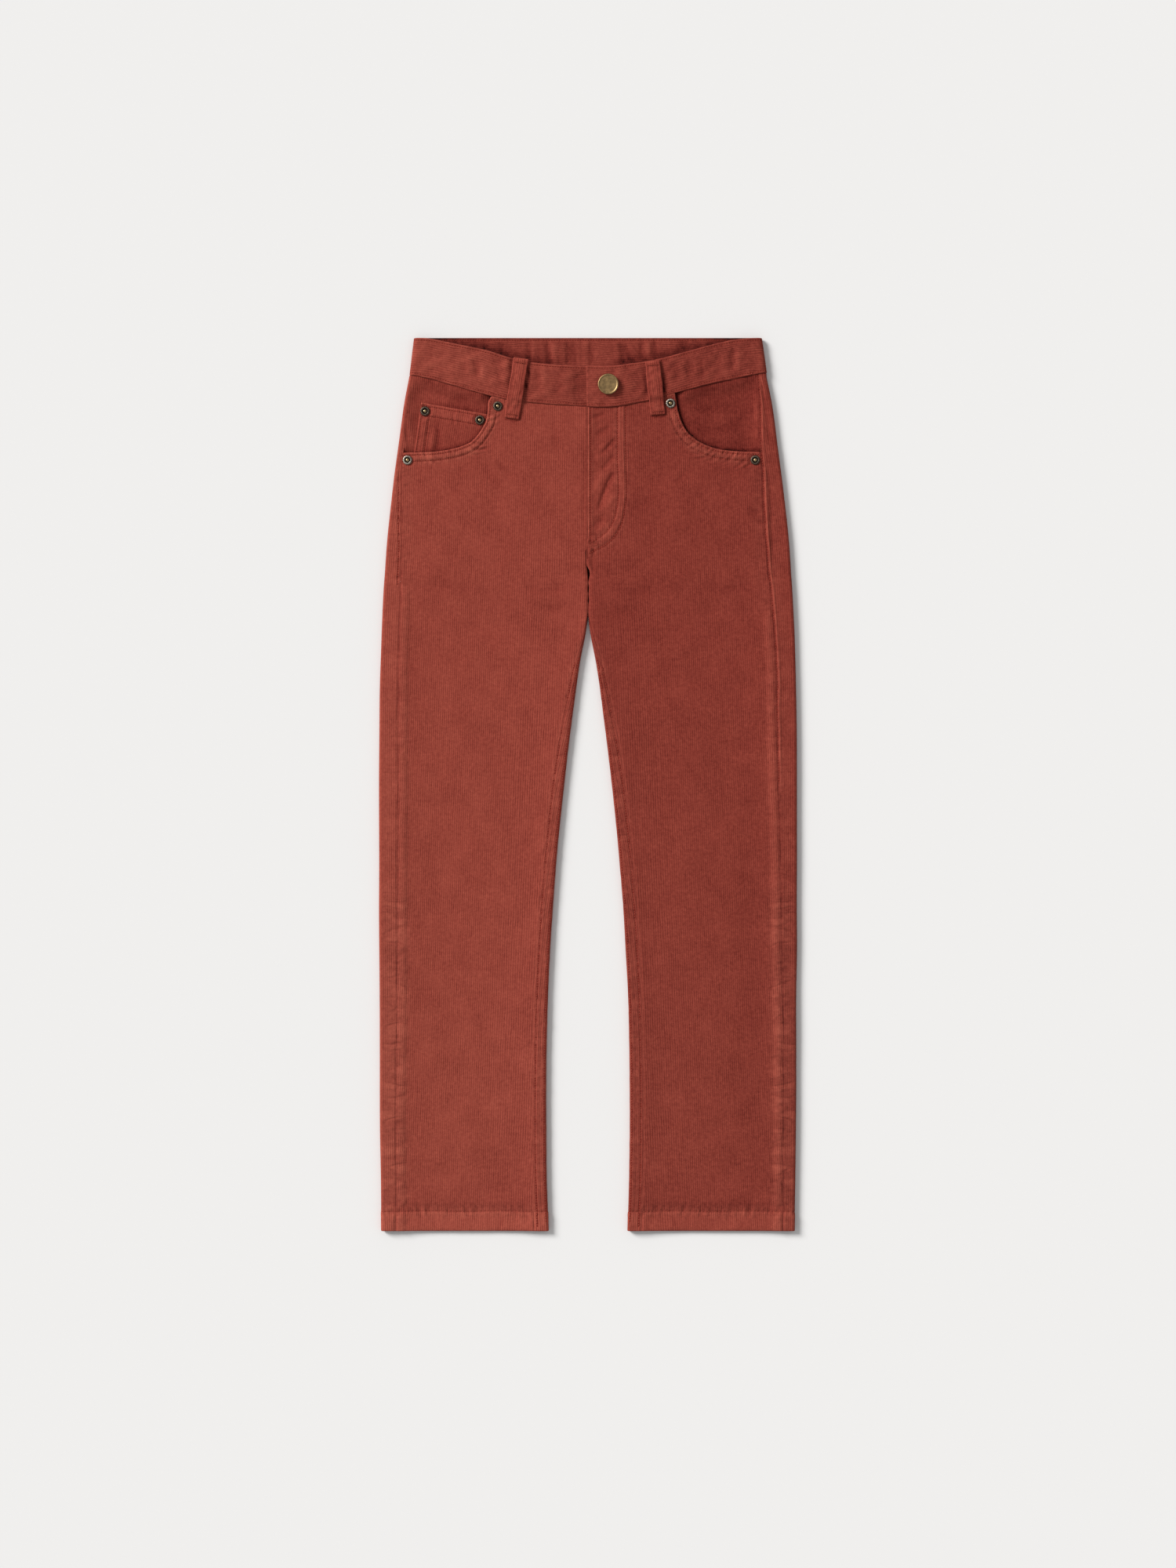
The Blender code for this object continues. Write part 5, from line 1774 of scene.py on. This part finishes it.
def makeBeltLoop(side):
    piece = loopPiece
    counts = waleColumns(0, 8) - 0.4
    steps, margin, _ = edgeGrid(piece)
    across = np.clip(counts * corduroy["pitch"], margin, piece["width"] - margin)
    across = np.concatenate([steps, across, piece["width"] - steps[::-1]])
    length = loopSkin(side, 0.0, 0.0)[4]
    along = np.concatenate([steps, np.arange(1.2, length - 1, 1.5), length - steps[::-1]])
    run, wide = np.meshgrid(along, across, indexing="ij")
    out, down, z, rumple, _ = loopSkin(side, run / length, wide / piece["width"] - 0.5)
    fromEdge = np.minimum.reduce([wide, piece["width"] - wide, run, length - run])
    count = wide / corduroy["pitch"] + 0.4
    wales = corduroy["depth"] * (1 - waleHeight(count))
    roll = edgeRoll(fromEdge, piece["rollRadius"])
    # ridges worn lighter, with painted shade in the stitch grooves and dents
    tint = piece["tint"][side] + piece["wearAndShadeTint"] * np.clip(rumple, -0.6, 0.5)
    # painted highlight on the loop's folded top and lower ends
    tint = tint + 0.10 * fadeFrom(run, 1.2) + 0.06 * fadeFrom(length - run, 1.2)
    weave = np.stack([count, run, tint], axis=-1)
    made = flatShell("cloth_belt_loop_" + side, sideSign[side] * out, down, z - wales - roll,
                     z - piece["thick"], weave, 6)
    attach(made, "root")
    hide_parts("belt_loop_" + side)
    return made


# a stitch's length, the gap after it, the size of the dimple that paints the needle hole's shade, and the
# thread's radius
stitchSize = {
    "dots": (1.1, 1.05, 1.5, 0.28),
    "scoop": (1.1, 1.05, 1.15, 0.26),
    "coin": (1.1, 1.05, 0.85, 0.22),
    "hem": (2.3, 0.6, 0.42, 0.20),
    "band": (1.2, 1.0, 0.95, 0.22),
    "loop": (2.0, 0.3, 0.20, 0.13),
    "tack": (0.85, 0.08, 0.5),
}


def flatRow(side, path, heightAt, size):
    # stitches along a path on an upward face
    if len(path) == 2:
        path = [path[0], (path[0] + path[1]) / 2, path[1]]
    path = smoothPath(path, 1.5)
    height = heightAt(path[:, 0], path[:, 1])[0]
    line = faceUp(sideSign[side] * path[:, 0], path[:, 1], height)
    up = np.tile((0.0, 0.0, 1.0), (len(line), 1))
    return stitchPieces(line, up, *stitchSize[size])


def frontStitches(side):
    sizes = ["scoop", "scoop", "hem", "dots", "dots", "dots"][:len(frontSeams[side])]
    paths = list(frontSeams[side])
    if side == "left":
        paths.append(np.array([(1.0, 173.6), (4.5, 175.4), (8.0, 174.2), (7.4, 171.0)]))
        sizes.append("tack")
    rows = [flatRow(side, path, lambda out, down: frontHeight(side, out, down), size)
            for path, size in zip(paths, sizes)]
    return threadPiece("stitches_front_" + side, rows, sewingThread)


def backStitches(side):
    sizes = ["dots", "dots", "dots", "hem", "hem"]
    rows = [flatRow(side, path, lambda out, down: stripHeight(side, out, down), size)
            for path, size in zip(backStripSeams[side], sizes)]
    return threadPiece("stitches_back_" + side, rows, sewingThread)


def coinStitches():
    rows = [flatRow("right", path, coinHeight, "coin") for path in coinSeams]
    return threadPiece("stitches_coin_pocket", rows, sewingThread)


def bandStitches():
    rows = []

    def add(run, share, outside):
        points, facing, _ = bandSkin(run, share, outside)
        line = points - facing * waistbandPiece["stitchDepth"]
        rows.append(stitchPieces(line, facing, *stitchSize["band"]))

    inset, frontRun = waistbandPiece["stitchInset"], waistbandPiece["frontRun"]
    run = np.arange(2.5, bandLength - 2, 1.5)
    width = bandWidth(run)
    add(run, inset / width, True)
    add(run, 1 - inset / width, True)
    behind = run[(run > frontRun) & (run < bandLength - frontRun)]
    add(behind, inset / bandWidth(behind), False)
    share = np.linspace(0.05, 0.95, 20)
    add(np.full(20, waistbandPiece["endInset"]), share, True)
    return threadPiece("stitches_waistband", rows, sewingThread)


def loopStitches(side):
    rows = []

    def add(share, across, size):
        out, down, z, _, _ = loopSkin(side, share, across)
        line = faceUp(sideSign[side] * out, down, z)
        rows.append(stitchPieces(line, np.tile((0.0, 0.0, 1.0), (len(line), 1)), *stitchSize[size]))

    for sign in (-1, 1):
        add(np.linspace(0.10, 0.91, 40), sign * loopPiece["stitchOut"] / loopPiece["width"], "loop")
    # the bar tacks zigzag
    for middle in (0.075, 0.935):
        add(middle + 0.012 * (-1.0) ** np.arange(23), np.linspace(-0.38, 0.38, 23), "tack")
    return threadPiece("stitches_belt_loop_" + side, rows, sewingThread)


def turnedPiece(name, profile, steps, centre, materials, pick, knurl=None):
    profile = np.array(profile, float)
    turns = np.arange(steps) * 2 * math.pi / steps
    radius = np.repeat(profile[:, :1], steps, axis=1)
    height = np.repeat(profile[:, 1:], steps, axis=1)
    if knurl:
        teeth, inner, outer, depth = knurl
        on = ease((radius - inner) / 0.3) * ease((outer - radius) / 0.3)
        height = height - depth * on * (0.5 + 0.5 * np.cos(teeth * turns[None, :]))
    points = np.stack([radius * np.cos(turns) + centre[0], radius * np.sin(turns) + centre[1],
                       height + centre[2]], axis=-1)
    rows = len(profile)
    index = numbered(rows, steps)
    after = np.roll(index, -1, axis=1)
    quads = np.stack([index[:-1], after[:-1], after[1:], index[1:]], axis=-1).reshape(-1, 4)
    points, faces, _ = weld(points.reshape(-1, 3), [quads], np.zeros((rows * steps, 3)))
    picks = None
    if pick:
        # the radii where one finish gives way to the next
        middles = [points[group].mean(axis=1)[:, :2] - np.array(centre[:2]) for group in faces]
        far = [np.linalg.norm(middle, axis=1) for middle in middles]
        picks = np.searchsorted(pick, np.concatenate(far))
    return makeMesh(name, points, faces, materials, None, picks)


# The profiles run from the middle out, over the rim and back to the middle below
buttonPiece = {
    "out": 17.0,
    "down": 39.6,
    "radius": 8.75,
    "bottom": 6.9,
    "steps": 96,
    # shares of the radius, and heights
    "profile": ((0, 2.45), (0.25, 2.45), (0.5, 2.50), (0.68, 2.58), (0.78, 2.60), (0.82, 2.66),
                (0.855, 2.88), (0.89, 3.02), (0.925, 3.05), (0.96, 2.94), (0.985, 2.70), (1, 2.4),
                (0.99, 2.0), (0.97, 1.5), (0.9, 1.1), (0.75, 0.85), (0.55, 0.7), (0.5, 0.4), (0.5, 0),
                (0, 0)),
}
rivetPiece = {
    "steps": 80,
    "profile": ((0, 1.12), (0.5, 1.08), (0.9, 0.96), (1.25, 0.72), (1.42, 0.45), (1.5, 0.22), (2.0, 0.20),
                (2.3, 0.30), (2.42, 0.62), (2.6, 0.84), (2.85, 0.95), (3.3, 0.92), (3.62, 0.74),
                (3.85, 0.50), (4.0, 0.2), (4.0, 0.0), (0, 0)),
    "finishRadii": (1.35, 2.35),        # where the post gives way to the well, and that to the ring
    "knurl": (16, 2.5, 3.8, 0.2),       # teeth, from and to which radius, and their depth
}


def makeButton():
    # a tack button with a slightly dished, worn face in a raised rim
    piece = buttonPiece
    profile = [(piece["radius"] * share, height) for share, height in piece["profile"]]
    centre = (piece["out"], waistY - piece["down"], piece["bottom"])
    made = turnedPiece("fly_button", profile, piece["steps"], centre, [metals["antiqueBrass"]], None)
    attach(made, "root")
    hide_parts("button")
    return made


def makeRivet(name, side, out, down, finish):
    # a knurled ring round a sunk well, with a domed post in the middle
    piece = rivetPiece
    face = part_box(name)[0][2] * 1000
    centre = (sideSign[side] * out, waistY - down, face)
    finishes = [metals["rivetPost"], metals["rivetWellShade"], metals[finish]]
    made = turnedPiece("metal_" + name, piece["profile"], piece["steps"], centre, finishes,
                       piece["finishRadii"], piece["knurl"])
    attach(made, "root")
    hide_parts(name)
    return made


for side in sideSign:
    makeFront(side)
    makeBack(side)
    makeFacing(side)
    makeBeltLoop(side)
    print("cloth made:", side)
makeCoinPocket()
makeWaistband()
print("waistband made")

for side in sideSign:
    frontStitches(side)
    backStitches(side)
    loopStitches(side)
coinStitches()
bandStitches()
print("stitches made")

makeButton()
for row in rivetTable:
    makeRivet(*row)
print("metal made")


studio = {
    "floor": (0.843, 0.845, 0.846),
    "floorHalf": 9.0,       # metres
    "floorGap": 0.0003,
    "keyElevation": 31,
    "keyTurn": 34,          # from straight left towards the waist
    "keySize": 24,
    "keyPower": 3.75,
    "keyColour": (1.0, 0.98, 0.96),
    "sky": 0.42,
    "skyColour": (1.0, 0.995, 0.985),
    "lens": 85,
    "sensor": 36,
    "viewHeight": 1.32,     # metres along the frame's long side
    "viewShift": 0.0003,
    "clipEnd": 20,
}


def makeFloor():
    mesh = bpy.data.meshes.new("studioFloor")
    half = studio["floorHalf"]
    corners = [(-half, -half, 0), (half, -half, 0), (half, half, 0), (-half, half, 0)]
    mesh.from_pydata(corners, [], [(0, 1, 2, 3)])
    floor = bpy.data.objects.new("studio_floor", mesh)
    bpy.context.scene.collection.objects.link(floor)
    floor.location.z = -studio["floorGap"]
    material, _, finish = newMaterial("palePaper")
    finish({"Base Color": (*studio["floor"], 1), "Roughness": 0.9, "Specular IOR Level": 0.1})
    mesh.materials.append(material)


def makeKeyLight():
    # a broad lamp far off at the upper left, low enough to rake over the wales
    light = bpy.data.lights.new("keyLight", "SUN")
    light.angle = math.radians(studio["keySize"])
    light.energy = studio["keyPower"]
    light.color = studio["keyColour"]
    lamp = bpy.data.objects.new("keyLight", light)
    bpy.context.scene.collection.objects.link(lamp)
    lamp.rotation_euler = (0, math.radians(studio["keyElevation"] - 90), math.radians(-studio["keyTurn"]))


def makeStudio():
    makeFloor()
    makeKeyLight()
    world = bpy.data.worlds.new("studioWorld")
    world.use_nodes = True
    background = world.node_tree.nodes["Background"]
    background.inputs["Color"].default_value = (*studio["skyColour"], 1)
    background.inputs["Strength"].default_value = studio["sky"]
    bpy.context.scene.world = world
    bpy.context.scene.view_settings.view_transform = "Standard"
    lens = bpy.data.cameras.new("camera")
    lens.lens = studio["lens"]
    lens.sensor_width = studio["sensor"]
    camera = bpy.data.objects.new("camera", lens)
    bpy.context.scene.collection.objects.link(camera)
    distance = studio["viewHeight"] * lens.lens / lens.sensor_width
    camera.location = (0, studio["viewShift"], distance + legTop / 1000)
    lens.clip_end = studio["clipEnd"]
    bpy.context.scene.camera = camera


makeStudio()
print("studio made")
